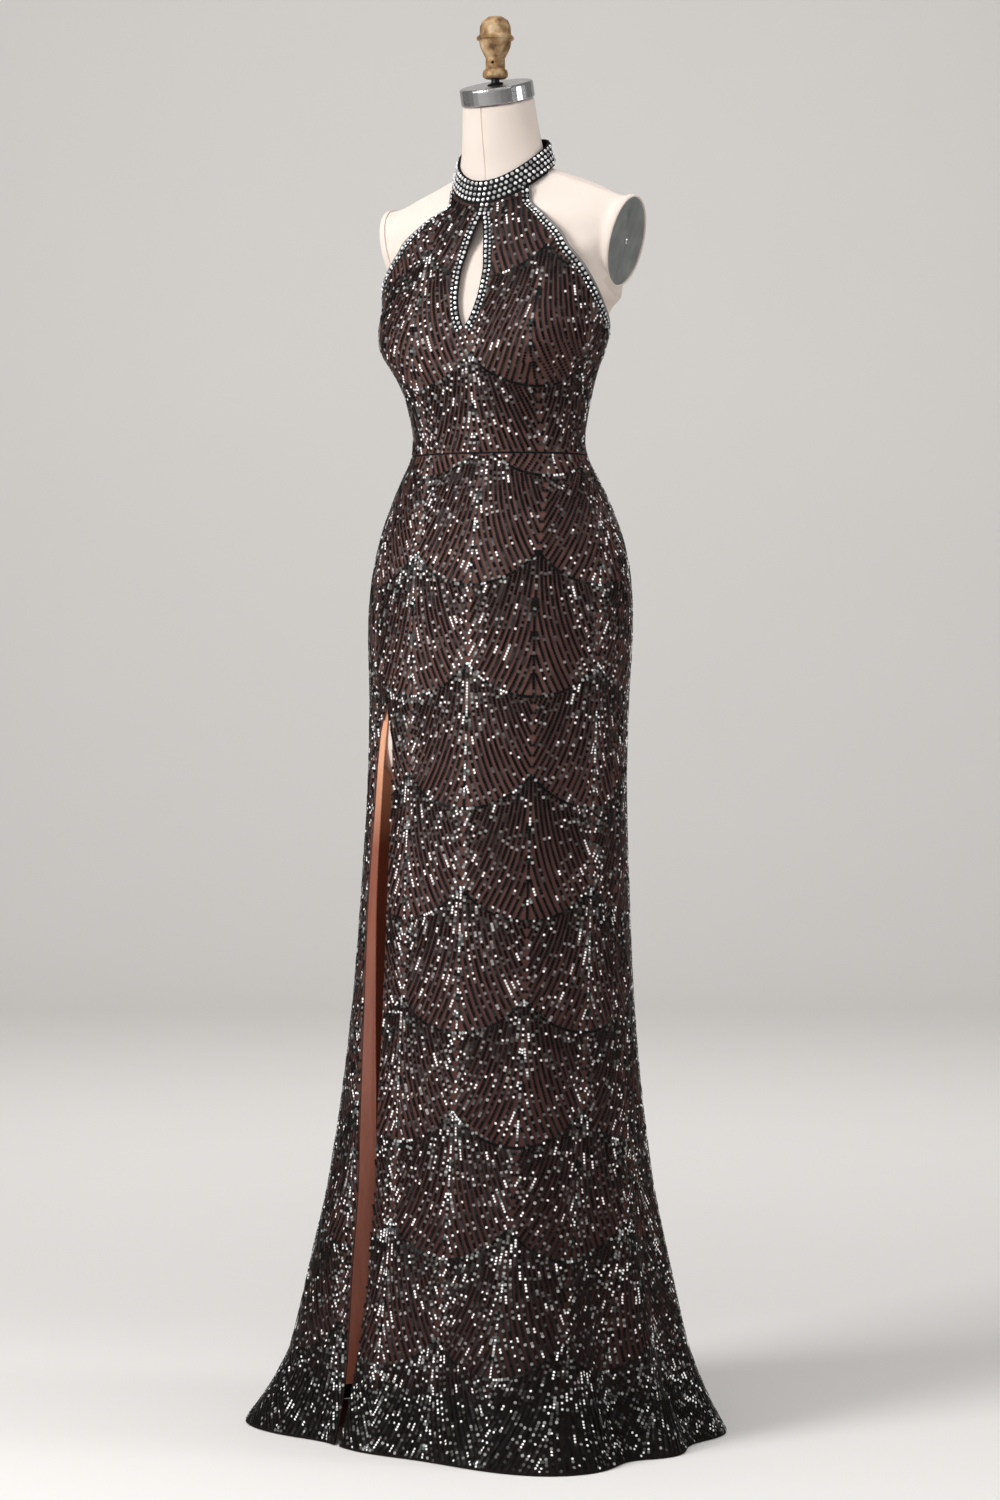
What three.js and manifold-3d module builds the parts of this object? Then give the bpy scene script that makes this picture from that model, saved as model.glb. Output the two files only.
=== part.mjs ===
// Halter evening gown with an open back, a keyhole front and a leg slit, on a limbless dress form.
// Millimetres, +Z up. The front faces -Y and the wearer's left is +X. The origin is on the floor,
// under the middle of the stand's pole.
import * as THREE from "three";
import { mergeVertices } from "three/addons/utils/BufferGeometryUtils.js";
import Module from "manifold-3d";

const wasm = await Module();
wasm.setup();

// Driving dimensions
const WAIST_Z = 1172;
const HEM_Z = 1;
const LINING_HEM_Z = 70;
const FORM_FOOT_Z = 777;
const NECK_TOP_Z = 1598;
const SEAM_GAP = 0.4;
const FIT_GAP = 0.3; // between hard parts that touch
const SKIRT_WALL = 1.2;
const LINING_WALL = 1.0;
const BODICE_WALL = 1.8;
const COLLAR_WALL = 2.4;
const LINING_EASE = 2.2; // from the outside of the skirt to the outside of the lining
const FORM_EASE = 4.4; // from the outside of the skirt to the form
const BODICE_EASE = 6.5; // from the outside of the bodice to the form

// The gown's outline. side, front and back are the reach from the pole's axis, at each height, and
// shift is how far behind the axis the section is widest.
const GOWN_SECTIONS = [
  { z: 0, side: 262, front: 223, back: 304, shift: 0 },
  { z: 52, side: 237, front: 207, back: 276, shift: 0 },
  { z: 104, side: 220, front: 197, back: 252, shift: 0 },
  { z: 207, side: 202, front: 178, back: 215, shift: 0 },
  { z: 311, side: 185, front: 162, back: 184, shift: 2 },
  { z: 518, side: 167, front: 144, back: 153, shift: 0 },
  { z: 673, side: 162, front: 135, back: 140, shift: 0 },
  { z: 777, side: 160, front: 128, back: 135, shift: 0 },
  { z: 877, side: 162, front: 122, back: 139, shift: 1 },
  { z: 974, side: 166, front: 119, back: 143, shift: 3 },
  { z: 1021, side: 163, front: 114, back: 141, shift: 5 },
  { z: 1070, side: 153, front: 107, back: 134, shift: 7 },
  { z: 1118, side: 135, front: 97, back: 119, shift: 6 },
  { z: 1145, side: 122, front: 89, back: 107, shift: 5 },
  { z: 1172, side: 109, front: 83, back: 98, shift: 4 },
  { z: 1192, side: 106, front: 83, back: 97, shift: 3 },
  { z: 1214, side: 109, front: 85, back: 98, shift: 3 },
  { z: 1263, side: 121, front: 89, back: 99, shift: 4 },
  { z: 1311, side: 140, front: 83, back: 99, shift: 4 },
  { z: 1347, side: 147, front: 78, back: 100, shift: 3 },
  { z: 1383, side: 155, front: 70, back: 102, shift: 2 },
  { z: 1424, side: 148, front: 57, back: 104, shift: 3 },
  { z: 1452, side: 115, front: 47, back: 104, shift: 6 },
  { z: 1475, side: 68, front: 38, back: 104, shift: 11 },
  { z: 1500, side: 65, front: 37, back: 104, shift: 12 },
];

// Soft flutes of the skirt. reach is how far one stands out of the outline at the hem, spread its
// half-width in degrees, top the height where it starts, and power how fast it grows downwards.
const FLUTES = [
  { at: -70, reach: 18, spread: 12, top: 95, power: 1.2 },
  { at: -60, reach: 40, spread: 15, top: 930, power: 1.5 },
  { at: -31, reach: -12, spread: 8, top: 420, power: 1.8 },
  { at: 4, reach: -5, spread: 10, top: 420, power: 1.8 },
  { at: 40, reach: 58, spread: 16, top: 620, power: 2.0 },
  { at: 62, reach: -16, spread: 6, top: 560, power: 1.6 },
  { at: 79, reach: 12, spread: 7, top: 520, power: 1.6 },
  { at: 94, reach: -9, spread: 6, top: 420, power: 1.6 },
  { at: 108, reach: 15, spread: 8, top: 480, power: 1.7 },
  { at: 127, reach: -20, spread: 9, top: 520, power: 1.8 },
  { at: 149, reach: 16, spread: 9, top: 480, power: 1.8 },
  { at: 168, reach: -9, spread: 7, top: 420, power: 1.8 },
  { at: 190, reach: 9, spread: 8, top: 420, power: 1.8 },
  { at: 211, reach: -12, spread: 8, top: 460, power: 1.8 },
  { at: 232, reach: 15, spread: 9, top: 500, power: 1.8 },
  { at: 252, reach: -14, spread: 8, top: 440, power: 1.8 },
  { at: 272, reach: 12, spread: 8, top: 460, power: 1.8 },
];

// The two bust cups: a rounded rise of the bodice and of the form under it.
const CUP = { at: 40, z: 1306, reach: 26, spread: 20, above: 40, below: 32 };

// The straight lining skirt hangs from the waist inside the flare.
const LINING_SECTIONS = [
  { z: 70, side: 184, front: 166, back: 186, shift: 0 },
  { z: 207, side: 177, front: 156, back: 172, shift: 0 },
  { z: 311, side: 171.5, front: 150, back: 161, shift: 0 },
  { z: 420, side: 166, front: 144.5, back: 153, shift: 0 },
  { z: 518, side: 163, front: 140.5, back: 148, shift: 0 },
];

// The dress form above the bust. The section is widest at shift behind the axis, where its height
// is z. It falls by tilt towards the front and rises by lift towards the back. roundness is the
// power of the section: 2 is an ellipse, less has its corners cut.
const FORM_SECTIONS = [
  { z: 1347, side: 141, front: 71, back: 96, shift: 10, roundness: 2.2, tilt: 0, lift: 0 },
  { z: 1359, side: 149, front: 68, back: 98, shift: 24, roundness: 2.2, tilt: 0, lift: 0 },
  { z: 1374, side: 151, front: 65, back: 99, shift: 27, roundness: 2.1, tilt: 0.02, lift: 0 },
  { z: 1392, side: 150.5, front: 61, back: 101, shift: 28, roundness: 2.05, tilt: 0.06, lift: 0 },
  { z: 1424, side: 155, front: 53, back: 103, shift: 27, roundness: 2.1, tilt: 0.18, lift: 0.05 },
  { z: 1455, side: 167, front: 40, back: 100, shift: 25, roundness: 1.9, tilt: 0.38, lift: 0.1 },
  { z: 1479, side: 170, front: 35.5, back: 92, shift: 26, roundness: 1.8, tilt: 0.54, lift: 0.15 },
  { z: 1491, side: 163, front: 33.4, back: 83, shift: 27, roundness: 1.75, tilt: 0.64, lift: 0.22 },
  { z: 1499, side: 142, front: 33, back: 75, shift: 26, roundness: 1.65, tilt: 0.76, lift: 0.3 },
  { z: 1504, side: 109, front: 31, back: 65, shift: 23, roundness: 1.55, tilt: 0.89, lift: 0.3 },
  { z: 1507, side: 79, front: 31, back: 58, shift: 18, roundness: 1.7, tilt: 0.89, lift: 0.4 },
  { z: 1511, side: 59, front: 32, back: 53, shift: 12, roundness: 2.0, tilt: 0.8, lift: 0.5 },
  { z: 1539, side: 52, front: 28.5, back: 49, shift: 11, roundness: 2.0, tilt: 0.78, lift: 0.5 },
  { z: 1565, side: 47, front: 34, back: 48, shift: 8, roundness: 2.0, tilt: 0.55, lift: 0.4 },
  { z: 1598, side: 43, front: 40, back: 46, shift: 3, roundness: 2.0, tilt: 0.287, lift: 0.287 },
];

// The rounded foot of the form: how far it draws in from the line of the hips.
const FORM_FOOT = [
  { z: 777, inset: 42 },
  { z: 784, inset: 26 },
  { z: 800, inset: 14 },
  { z: 830, inset: 6 },
  { z: 880, inset: 4.2 },
];

// Edges of the bodice, as the angle round the body at each height
const ARMHOLE_EDGE = [
  { z: 1318, angle: 110 },
  { z: 1327, angle: 103 },
  { z: 1340, angle: 92 },
  { z: 1353, angle: 82 },
  { z: 1373, angle: 69.6 },
  { z: 1395, angle: 60.5 },
  { z: 1424, angle: 50 },
  { z: 1452, angle: 48 },
  { z: 1475, angle: 56 },
  { z: 1500, angle: 57 },
];
const BACK_EDGE = [
  { z: 1172, angle: 117 },
  { z: 1250, angle: 113 },
  { z: 1318, angle: 110 },
];
const SIDE_SEAM = 86; // degrees from the middle of the front
const SIDE_SEAM_TOP_Z = 1347;

// Half-width of the keyhole at each height, and how far its middle sits to the wearer's left
const KEYHOLE = [
  { z: 1319, half: 0 },
  { z: 1329, half: 5.5 },
  { z: 1342, half: 10 },
  { z: 1363, half: 14 },
  { z: 1386, half: 15 },
  { z: 1411, half: 11.4 },
  { z: 1437, half: 6.4 },
  { z: 1458, half: 0 },
];
const KEYHOLE_X = 5.5;

// The two edges of the leg slit over the wearer's right leg, as the angle from the middle of the
// front at each height. The slit is closed above its last row.
const SLIT = [
  { z: 0, side: 25.2, main: 22.8 },
  { z: 77, side: 28.5, main: 24.3 },
  { z: 170, side: 31.9, main: 23.8 },
  { z: 285, side: 35.5, main: 26 },
  { z: 404, side: 40.3, main: 28.6 },
  { z: 518, side: 44.5, main: 29.8 },
  { z: 645, side: 47.2, main: 30.2 },
  { z: 776, side: 45.1, main: 29.9 },
  { z: 837, side: 41.8, main: 31 },
  { z: 869, side: 36, main: 36 },
];
const SLIT_TOP_Z = SLIT.at(-1).z;
const LINING_FACING = 9; // how far the lining shows past the side edge of the slit
const LINING_RECESS = 2; // how far it stays behind the other edge

// The neckband: an oval ring that rises to the nape, steeply at first
const COLLAR = {
  side: 65,
  front: 37.5,
  back: 61.5,
  shift: 20,
  frontZ: 1472,
  slope: 1.02,
  easing: 0.0044, // how fast the slope eases towards the back
  height: 27,
  lean: 0.27, // how far it draws in for each millimetre up, at the sides and the back
  frontLean: 0.12,
  backGap: 0.5,
};

// The stand and the form's metal fittings
const POLE_RADIUS = 16;
const POLE_SOCKET = 40;
const FOOT = { reach: 168, width: 44, thick: 12, hubRadius: 27, hubTop: 62 };
const CAP = { side: 44, depth: 47, height: 19.5, bevel: 2.5, tiltDeg: 16, gap: 0.4 };
const FINIAL_Y = -4;
const FINIAL_Z = 1624;
const FINIAL_PROFILE = [
  { r: 12.5, z: 0 },
  { r: 15, z: 2 },
  { r: 15.3, z: 6 },
  { r: 14.2, z: 10 },
  { r: 11.8, z: 11 },
  { r: 11.6, z: 24 },
  { r: 14.8, z: 30 },
  { r: 18, z: 37 },
  { r: 19.4, z: 45 },
  { r: 22.4, z: 46.5 },
  { r: 22.6, z: 49 },
  { r: 20, z: 51.5 },
  { r: 19, z: 53 },
  { r: 18.4, z: 62 },
  { r: 15.5, z: 69 },
  { r: 9, z: 73.4 },
];
const FINIAL_HOLE = { z: 18, radius: 1.9, length: 40, facingDeg: 13 };
const STEM_RADIUS = 5;
const STEM_NUT = 2.4;
const ARM_PLATE = {
  x: 157,
  y: 35,
  z: 1425,
  depth: 40,
  height: 52.5,
  thick: 2.5,
  tiltDeg: 14,
  rim: 3,
  pocket: 3, // how deep the plate's pocket is in the end of the arm
  endOut: 1.5, // how far the end of the arm stands out past the plate's place
  endIn: 60,
};

// The head of the screw in the middle of each arm plate
const ARM_SCREW = [
  { rise: 0, radius: 3.4 },
  { rise: 1.1, radius: 3.4 },
  { rise: 1.8, radius: 2.2 },
];

// The narrow binding, laid on the bodice's edge. slant widens it where the edge runs round the body.
const BINDING = {
  width: 3.2,
  wall: 0.8,
  out: 1.7,
  inset: 0.15, // degrees
  topZ: 1458,
  startGap: 0.3,
  slant: 1.2,
  lowSlant: 2.2,
  lowFromAngle: 70,
};

// The fastenings at the back
const BUTTON = { radius: 5, rise: 4, spacing: 12, fromGap: 7 };
const ZIP = { z: 1150, seat: 7, sliderWidth: 5.4, sliderHeight: 11, sliderThick: 2.4 };
const ZIP_TAB = { length: 22, width: 7, neck: 3.6, thick: 1.2, barrel: 1.5, barrelWidth: 2.4 };
const ZIP_EAR = { thick: 1.1, radius: 2.2 };

const rad = THREE.MathUtils.degToRad;

// A smooth curve through a table's column that never overshoots between two rows
function curveOf(rows, column) {
  const z = rows.map((row) => row.z);
  const y = rows.map((row) => row[column]);
  const slopes = z.slice(1).map((next, i) => (y[i + 1] - y[i]) / (next - z[i]));
  const tangents = z.map((_, i) => {
    const before = slopes[Math.max(i - 1, 0)];
    const after = slopes[Math.min(i, slopes.length - 1)];
    return before * after <= 0 ? 0 : (2 * before * after) / (before + after);
  });
  return (at) => {
    if (at <= z[0]) return y[0];
    if (at >= z[z.length - 1]) return y[y.length - 1];
    const i = z.findIndex((next) => next > at) - 1;
    const h = z[i + 1] - z[i];
    const s = (at - z[i]) / h;
    return (
      y[i] * (1 + 2 * s) * (1 - s) ** 2 +
      tangents[i] * h * s * (1 - s) ** 2 +
      y[i + 1] * s * s * (3 - 2 * s) +
      tangents[i + 1] * h * s * s * (s - 1)
    );
  };
}

function sectionsOf(rows) {
  const curves = {};
  for (const column of Object.keys(rows[0])) curves[column] = curveOf(rows, column);
  return (z) => Object.fromEntries(Object.entries(curves).map(([name, curve]) => [name, curve(z)]));
}

// A point of a section at an angle in degrees from the middle of the front, towards the left side
function sectionPoint({ side, front, back, shift = 0, roundness = 2 }, angle, z) {
  const s = Math.sin(rad(angle));
  const c = Math.cos(rad(angle));
  const depth = c > 0 ? front + shift : back - shift;
  const power = 2 / roundness;
  const x = side * Math.sign(s) * Math.abs(s) ** power;
  const y = shift - depth * Math.sign(c) * Math.abs(c) ** power;
  return new THREE.Vector3(x, y, z);
}

function turn(angle, centre) {
  return ((((angle - centre) % 360) + 540) % 360) - 180;
}

function bell(distance, spread) {
  return Math.exp(-0.5 * (distance / spread) ** 2);
}

function fluteReach(angle, z) {
  let reach = 0;
  for (const flute of FLUTES) {
    if (z >= flute.top) continue;
    const grown = ((flute.top - z) / flute.top) ** flute.power;
    reach += flute.reach * grown * bell(turn(angle, flute.at), flute.spread);
  }
  return reach;
}

function cupReach(angle, z) {
  const along = z > CUP.z ? CUP.above : CUP.below;
  const left = bell(turn(angle, CUP.at), CUP.spread);
  const right = bell(turn(angle, -CUP.at), CUP.spread);
  return CUP.reach * bell(z - CUP.z, along) * (left + right);
}

function pushedOut(point, angle, reach) {
  point.x += reach * Math.sin(rad(angle));
  point.y -= reach * Math.cos(rad(angle));
  return point;
}

const gownSection = sectionsOf(GOWN_SECTIONS);

function gownPoint(angle, z) {
  const point = sectionPoint(gownSection(z), angle, z);
  return pushedOut(point, angle, fluteReach(angle, z) + cupReach(angle, z));
}

const straightFrom = GOWN_SECTIONS.filter((row) => row.z > LINING_SECTIONS.at(-1).z);
const eased = (row, ease) => ({
  ...row,
  side: row.side - ease,
  front: row.front - ease,
  back: row.back - ease,
});
const liningSection = sectionsOf([
  ...LINING_SECTIONS,
  ...straightFrom.map((row) => eased(row, LINING_EASE)),
]);

function liningPoint(angle, z) {
  return sectionPoint(liningSection(z), angle, z);
}

const formRows = GOWN_SECTIONS.filter((row) => row.z >= FORM_FOOT_Z && row.z < FORM_SECTIONS[0].z);
const formEase = (z) => (z > WAIST_Z ? BODICE_EASE : FORM_EASE);
const formSection = sectionsOf([
  ...formRows.map((row) => ({ ...eased(row, formEase(row.z)), roundness: 2, tilt: 0, lift: 0 })),
  ...FORM_SECTIONS,
]);
const footInset = curveOf(FORM_FOOT, "inset");

function formPoint(angle, z) {
  const section = formSection(z);
  const inset = z < FORM_FOOT.at(-1).z ? footInset(z) - FORM_EASE : 0;
  const point = sectionPoint(
    { ...section, side: section.side - inset, front: section.front - inset, back: section.back - inset },
    angle,
    z,
  );
  return pushedOut(point, angle, cupReach(angle, z));
}

// The outward normal of a surface given by angle and height
function normalOf(surface, angle, z) {
  const round = surface(angle + 0.5, z).sub(surface(angle - 0.5, z));
  const up = surface(angle, z + 1).sub(surface(angle, z - 1));
  return round.cross(up).normalize();
}

// A closed cloth wall. Each strip is a grid of rows of points { outer, inner }. Strips that share
// points are sewn into one, and every open edge is closed across the wall.
function clothWall(strips) {
  const ids = new Map();
  const outer = [];
  const inner = [];
  const idOf = (point) => {
    const key = point.outer.toArray().map((v) => Math.round(v * 200)).join();
    if (!ids.has(key)) {
      ids.set(key, outer.length);
      outer.push(point.outer);
      inner.push(point.inner);
    }
    return ids.get(key);
  };
  const cells = [];
  for (const rows of strips)
    for (let j = 0; j + 1 < rows.length; j++)
      for (let i = 0; i + 1 < rows[j].length; i++) {
        const corners = [rows[j][i], rows[j][i + 1], rows[j + 1][i + 1], rows[j + 1][i]].map(idOf);
        cells.push(corners.filter((id, k) => id !== corners[(k + 1) % corners.length]));
      }
  const edges = new Set();
  for (const cell of cells) cell.forEach((id, k) => edges.add(id + ":" + cell[(k + 1) % cell.length]));
  const count = outer.length;
  const index = [];
  for (const cell of cells) {
    for (let k = 1; k + 1 < cell.length; k++) {
      index.push(cell[0], cell[k], cell[k + 1]);
      index.push(count + cell[0], count + cell[k + 1], count + cell[k]);
    }
    cell.forEach((a, k) => {
      const b = cell[(k + 1) % cell.length];
      if (!edges.has(b + ":" + a)) index.push(a, count + a, b, b, count + a, count + b);
    });
  }
  return geometryOf([...outer, ...inner], index);
}

function geometryOf(points, index) {
  const geometry = new THREE.BufferGeometry().setFromPoints(points);
  geometry.setIndex(index);
  geometry.computeVertexNormals();
  return geometry;
}

// A grid of wall points over a surface. place gives the angle and height at u and v from 0 to 1.
function strip(surface, wall, columns, rowShares, place, out = 0) {
  return rowShares.map((v) =>
    Array.from({ length: columns + 1 }, (_, i) => {
      const { angle, z } = place(i / columns, v);
      const normal = normalOf(surface, angle, z);
      const point = surface(angle, z);
      return {
        outer: point.clone().addScaledVector(normal, out),
        inner: point.clone().addScaledVector(normal, out - wall),
      };
    }),
  );
}

function evenly(count) {
  return Array.from({ length: count + 1 }, (_, i) => i / count);
}

// A solid through rings of points, each anticlockwise seen from its far end, closed at both ends
function loft(rings) {
  const around = rings[0].length;
  const points = rings.flat();
  const index = [];
  for (let j = 0; j + 1 < rings.length; j++)
    for (let i = 0; i < around; i++) {
      const a = j * around + i;
      const b = j * around + ((i + 1) % around);
      index.push(a, b, b + around, a, b + around, a + around);
    }
  for (const [ring, first] of [[rings[0], 0], [rings.at(-1), (rings.length - 1) * around]]) {
    const middle = ring.reduce((sum, p) => sum.add(p), new THREE.Vector3()).divideScalar(around);
    const centre = points.push(middle) - 1;
    for (let i = 0; i < around; i++) {
      const next = (i + 1) % around;
      if (first === 0) index.push(centre, first + next, first + i);
      else index.push(centre, first + i, first + next);
    }
  }
  return geometryOf(points, index);
}

function lathe(profile, segments) {
  const points = [[0, profile[0].z], ...profile.map((p) => [p.r, p.z]), [0, profile.at(-1).z]];
  const geometry = new THREE.LatheGeometry(points.map(([r, z]) => new THREE.Vector2(r, z)), segments);
  return geometry.rotateX(Math.PI / 2);
}

function solidOf(geometry) {
  const bare = geometry.index ? geometry.toNonIndexed() : geometry.clone();
  const only = new THREE.BufferGeometry().setAttribute("position", bare.getAttribute("position"));
  const merged = mergeVertices(only, 1e-3);
  return new wasm.Manifold(
    new wasm.Mesh({
      numProp: 3,
      vertProperties: merged.attributes.position.array,
      triVerts: new Uint32Array(merged.index.array),
    }),
  );
}

function geometryFrom(solid) {
  const { vertProperties, triVerts } = solid.getMesh();
  const geometry = new THREE.BufferGeometry();
  geometry.setAttribute("position", new THREE.BufferAttribute(vertProperties, 3));
  geometry.setIndex(new THREE.BufferAttribute(triVerts, 1));
  geometry.computeVertexNormals();
  return geometry;
}

const paint = (color, roughness, metalness) =>
  new THREE.MeshStandardMaterial({ color, roughness, metalness, side: THREE.DoubleSide });
const SEQUINNED = paint(0x2b2626, 0.4, 0.2);
const LINING_CLOTH = paint(0x8a5646, 0.6, 0);
const BINDING_CLOTH = paint(0x55524f, 0.7, 0);
const LINEN = paint(0xe9ddcd, 0.85, 0);
const BRUSHED_METAL = paint(0xa9abad, 0.35, 0.9);
const AGED_BRASS = paint(0x9c7d52, 0.5, 0.6);
const DARK_METAL = paint(0x2a2c2f, 0.45, 0.8);

const gown = new THREE.Group();

function add(name, geometry, material, group = gown) {
  const mesh = new THREE.Mesh(geometry, material);
  mesh.name = name;
  group.add(mesh);
  return mesh;
}

// Half the seam gap, as an angle at the skirt's radius there
const seam = (z) => THREE.MathUtils.radToDeg(SEAM_GAP / 2 / gownSection(z).side);

const slitSideEdge = curveOf(SLIT, "side");
const slitMainEdge = curveOf(SLIT, "main");

const SKIRT_ROWS_Z = [
  HEM_Z, 24, 52, 92, 140, 195, 255, 320, 395, 470, 555, 640, 725, 790, 830, SLIT_TOP_Z, 925, 974,
  1021, 1070, 1118, ZIP.z - ZIP.seat, ZIP.z + ZIP.seat, WAIST_Z - SEAM_GAP,
];

function skirtGrid(columns, fromAngle, toAngle) {
  const rowShares = SKIRT_ROWS_Z;
  const place = (u, z) => ({ angle: fromAngle(z) + u * (toAngle(z) - fromAngle(z)), z });
  return strip(gownPoint, SKIRT_WALL, columns, rowShares, place);
}

function buildSkirt() {
  const front = [
    skirtGrid(7, (z) => -90 + seam(z), (z) => -slitSideEdge(z)),
    skirtGrid(15, (z) => -slitMainEdge(z), (z) => 90 - seam(z)),
  ];
  add("skirt_front", clothWall(front), SEQUINNED);
  const backLeft = skirtGrid(12, (z) => 90 + seam(z), (z) => 180 - seam(z));
  add("skirt_back_left", clothWall([backLeft]), SEQUINNED);
  const backRight = skirtGrid(12, (z) => 180 + seam(z), (z) => 270 - seam(z));
  add("skirt_back_right", clothWall([backRight]), SEQUINNED);
}

const LINING_ROWS_Z = [LINING_HEM_Z, 160, 240, 320, ...SKIRT_ROWS_Z.filter((z) => z > 390)];

function buildLining() {
  const within = (z, width) => {
    const { side, front } = liningSection(z);
    const opening = slitSideEdge(z) - slitMainEdge(z);
    return Math.min(THREE.MathUtils.radToDeg((2 * width) / (side + front)), opening * 0.4);
  };
  const side = (z) => -slitSideEdge(z) + within(z, LINING_FACING);
  const main = (z) => -slitMainEdge(z) + within(z, LINING_RECESS);
  const grid = (columns, from, to) =>
    strip(liningPoint, LINING_WALL, columns, LINING_ROWS_Z, (u, z) => ({
      angle: from(z) + u * (to(z) - from(z)),
      z,
    }));
  const front = [grid(7, (z) => -90 + seam(z), side), grid(15, main, (z) => 90 - seam(z))];
  add("lining_front", clothWall(front), LINING_CLOTH);
  add("lining_back", clothWall([grid(24, (z) => 90 + seam(z), (z) => 270 - seam(z))]), LINING_CLOTH);
}

const armholeEdge = curveOf(ARMHOLE_EDGE, "angle");
const backEdge = curveOf(BACK_EDGE, "angle");
const keyholeHalf = curveOf(KEYHOLE, "half");
const bodiceLowZ = WAIST_Z + SEAM_GAP / 2;

// The neckband's lower edge
function collarLowZ(y) {
  const behind = y + COLLAR.front;
  return COLLAR.frontZ + COLLAR.slope * behind - COLLAR.easing * behind ** 2;
}

function frontEdge(z) {
  const seamAngle = SIDE_SEAM - seam(z);
  return z < SIDE_SEAM_TOP_Z ? seamAngle : Math.min(seamAngle, armholeEdge(z));
}

// The angle of the keyhole's left (sign 1) or right (sign -1) edge
function keyholeAngle(z, sign) {
  const x = KEYHOLE_X + sign * keyholeHalf(z);
  return THREE.MathUtils.radToDeg(Math.asin(x / gownSection(z).side));
}

function bodiceAngle(u, z, sign) {
  const inner = keyholeAngle(z, sign);
  return inner + u * (sign * frontEdge(z) - inner);
}

function bodiceTopZ(u, sign) {
  let z = COLLAR.frontZ;
  for (let step = 0; step < 12; step++)
    z = collarLowZ(gownPoint(bodiceAngle(u, z, sign), z).y) - SEAM_GAP;
  return z;
}

const BODICE_ROWS = [
  0, 0.08, 0.17, 0.26, 0.35, 0.43, 0.5, 0.54, 0.6, 0.67, 0.74, 0.82, 0.9, 0.96, 1,
];

function buildBodice() {
  const half = (sign) =>
    strip(gownPoint, BODICE_WALL, 12, BODICE_ROWS, (u, v) => {
      const across = sign > 0 ? u : 1 - u;
      const z = bodiceLowZ + v * (bodiceTopZ(across, sign) - bodiceLowZ);
      return { angle: bodiceAngle(across, z, sign), z };
    });
  add("bodice_front", clothWall([half(-1), half(1)]), SEQUINNED);
  const sideTopZ = (angle) => {
    const rows = ARMHOLE_EDGE.filter((row) => row.z <= 1353).map((row) => ({ z: -row.angle, top: row.z }));
    return curveOf(rows, "top")(-angle);
  };
  for (const [name, sign] of [["bodice_side_left", 1], ["bodice_side_right", -1]]) {
    const grid = strip(gownPoint, BODICE_WALL, 4, evenly(7), (u, v) => {
      const across = sign > 0 ? u : 1 - u;
      const seamAngle = SIDE_SEAM + seam(WAIST_Z);
      const topAngle = seamAngle + across * (ARMHOLE_EDGE[0].angle - seamAngle);
      const z = bodiceLowZ + v * (sideTopZ(topAngle) - bodiceLowZ);
      return { angle: sign * (seamAngle + across * (backEdge(z) - seamAngle)), z };
    });
    add(name, clothWall([grid]), SEQUINNED);
  }
}

// The binding along the armhole and down the edge of the open back
function buildBindings() {
  const cornerZ = ARMHOLE_EDGE[0].z;
  const lowZ = bodiceLowZ + BINDING.startGap;
  const tape = (sign, rows, place) =>
    strip(
      gownPoint,
      BINDING.wall,
      1,
      evenly(rows),
      (u, v) => {
        const { z, edge, slant } = place(v);
        const across = sign > 0 ? 1 - u : u;
        const width = THREE.MathUtils.radToDeg((BINDING.width * slant) / gownSection(z).side);
        return { angle: sign * (edge - BINDING.inset - across * width), z };
      },
      BINDING.out,
    );
  for (const [name, sign] of [["binding_left", 1], ["binding_right", -1]]) {
    const armhole = tape(sign, 14, (v) => {
      const z = cornerZ + v * (BINDING.topZ - cornerZ);
      const edge = armholeEdge(z);
      return { z, edge, slant: edge > BINDING.lowFromAngle ? BINDING.lowSlant : BINDING.slant };
    });
    const back = tape(sign, 8, (v) => {
      const z = lowZ + v * (cornerZ - lowZ);
      if (v === 1) return { z, edge: armholeEdge(z), slant: BINDING.lowSlant };
      return { z, edge: backEdge(z), slant: 1 };
    });
    add(name, clothWall([armhole, back]), BINDING_CLOTH);
  }
}

function collarPoint(angle, height) {
  const low = sectionPoint(COLLAR, angle, 0);
  const drawn = { ...eased(COLLAR, COLLAR.lean * height), front: COLLAR.front - COLLAR.frontLean * height };
  const point = sectionPoint(drawn, angle, 0);
  point.z = collarLowZ(low.y) + height;
  return point;
}

function buildCollar() {
  const end = 180 - THREE.MathUtils.radToDeg(COLLAR.backGap / 2 / COLLAR.side);
  const band = strip(collarPoint, COLLAR_WALL, 44, [0, 0.5, 1], (u, v) => ({
    angle: end * (2 * u - 1),
    z: v * COLLAR.height,
  }));
  add("collar_band", clothWall([band]), SEQUINNED);
  for (const [name, share] of [["collar_button_lower", -0.5], ["collar_button_upper", 0.5]]) {
    const angle = 180 - THREE.MathUtils.radToDeg(BUTTON.fromGap / COLLAR.side);
    const height = COLLAR.height / 2 + share * BUTTON.spacing;
    const dome = [
      { r: BUTTON.radius * 0.85, z: 0 },
      { r: BUTTON.radius, z: BUTTON.rise * 0.3 },
      { r: BUTTON.radius * 0.85, z: BUTTON.rise * 0.7 },
      { r: BUTTON.radius * 0.45, z: BUTTON.rise },
    ];
    const button = add(name, lathe(dome, 14), SEQUINNED);
    const normal = normalOf(collarPoint, angle, height);
    button.position.copy(collarPoint(angle, height)).addScaledVector(normal, FIT_GAP);
    button.quaternion.setFromUnitVectors(new THREE.Vector3(0, 0, 1), normal);
  }
}

function formRing(z, around) {
  return Array.from({ length: around }, (_, i) => {
    const point = formPoint((i * 360) / around, z);
    const { shift, tilt, lift } = formSection(z);
    point.z += (point.y < shift ? tilt : lift) * (point.y - shift);
    return point;
  });
}

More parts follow.
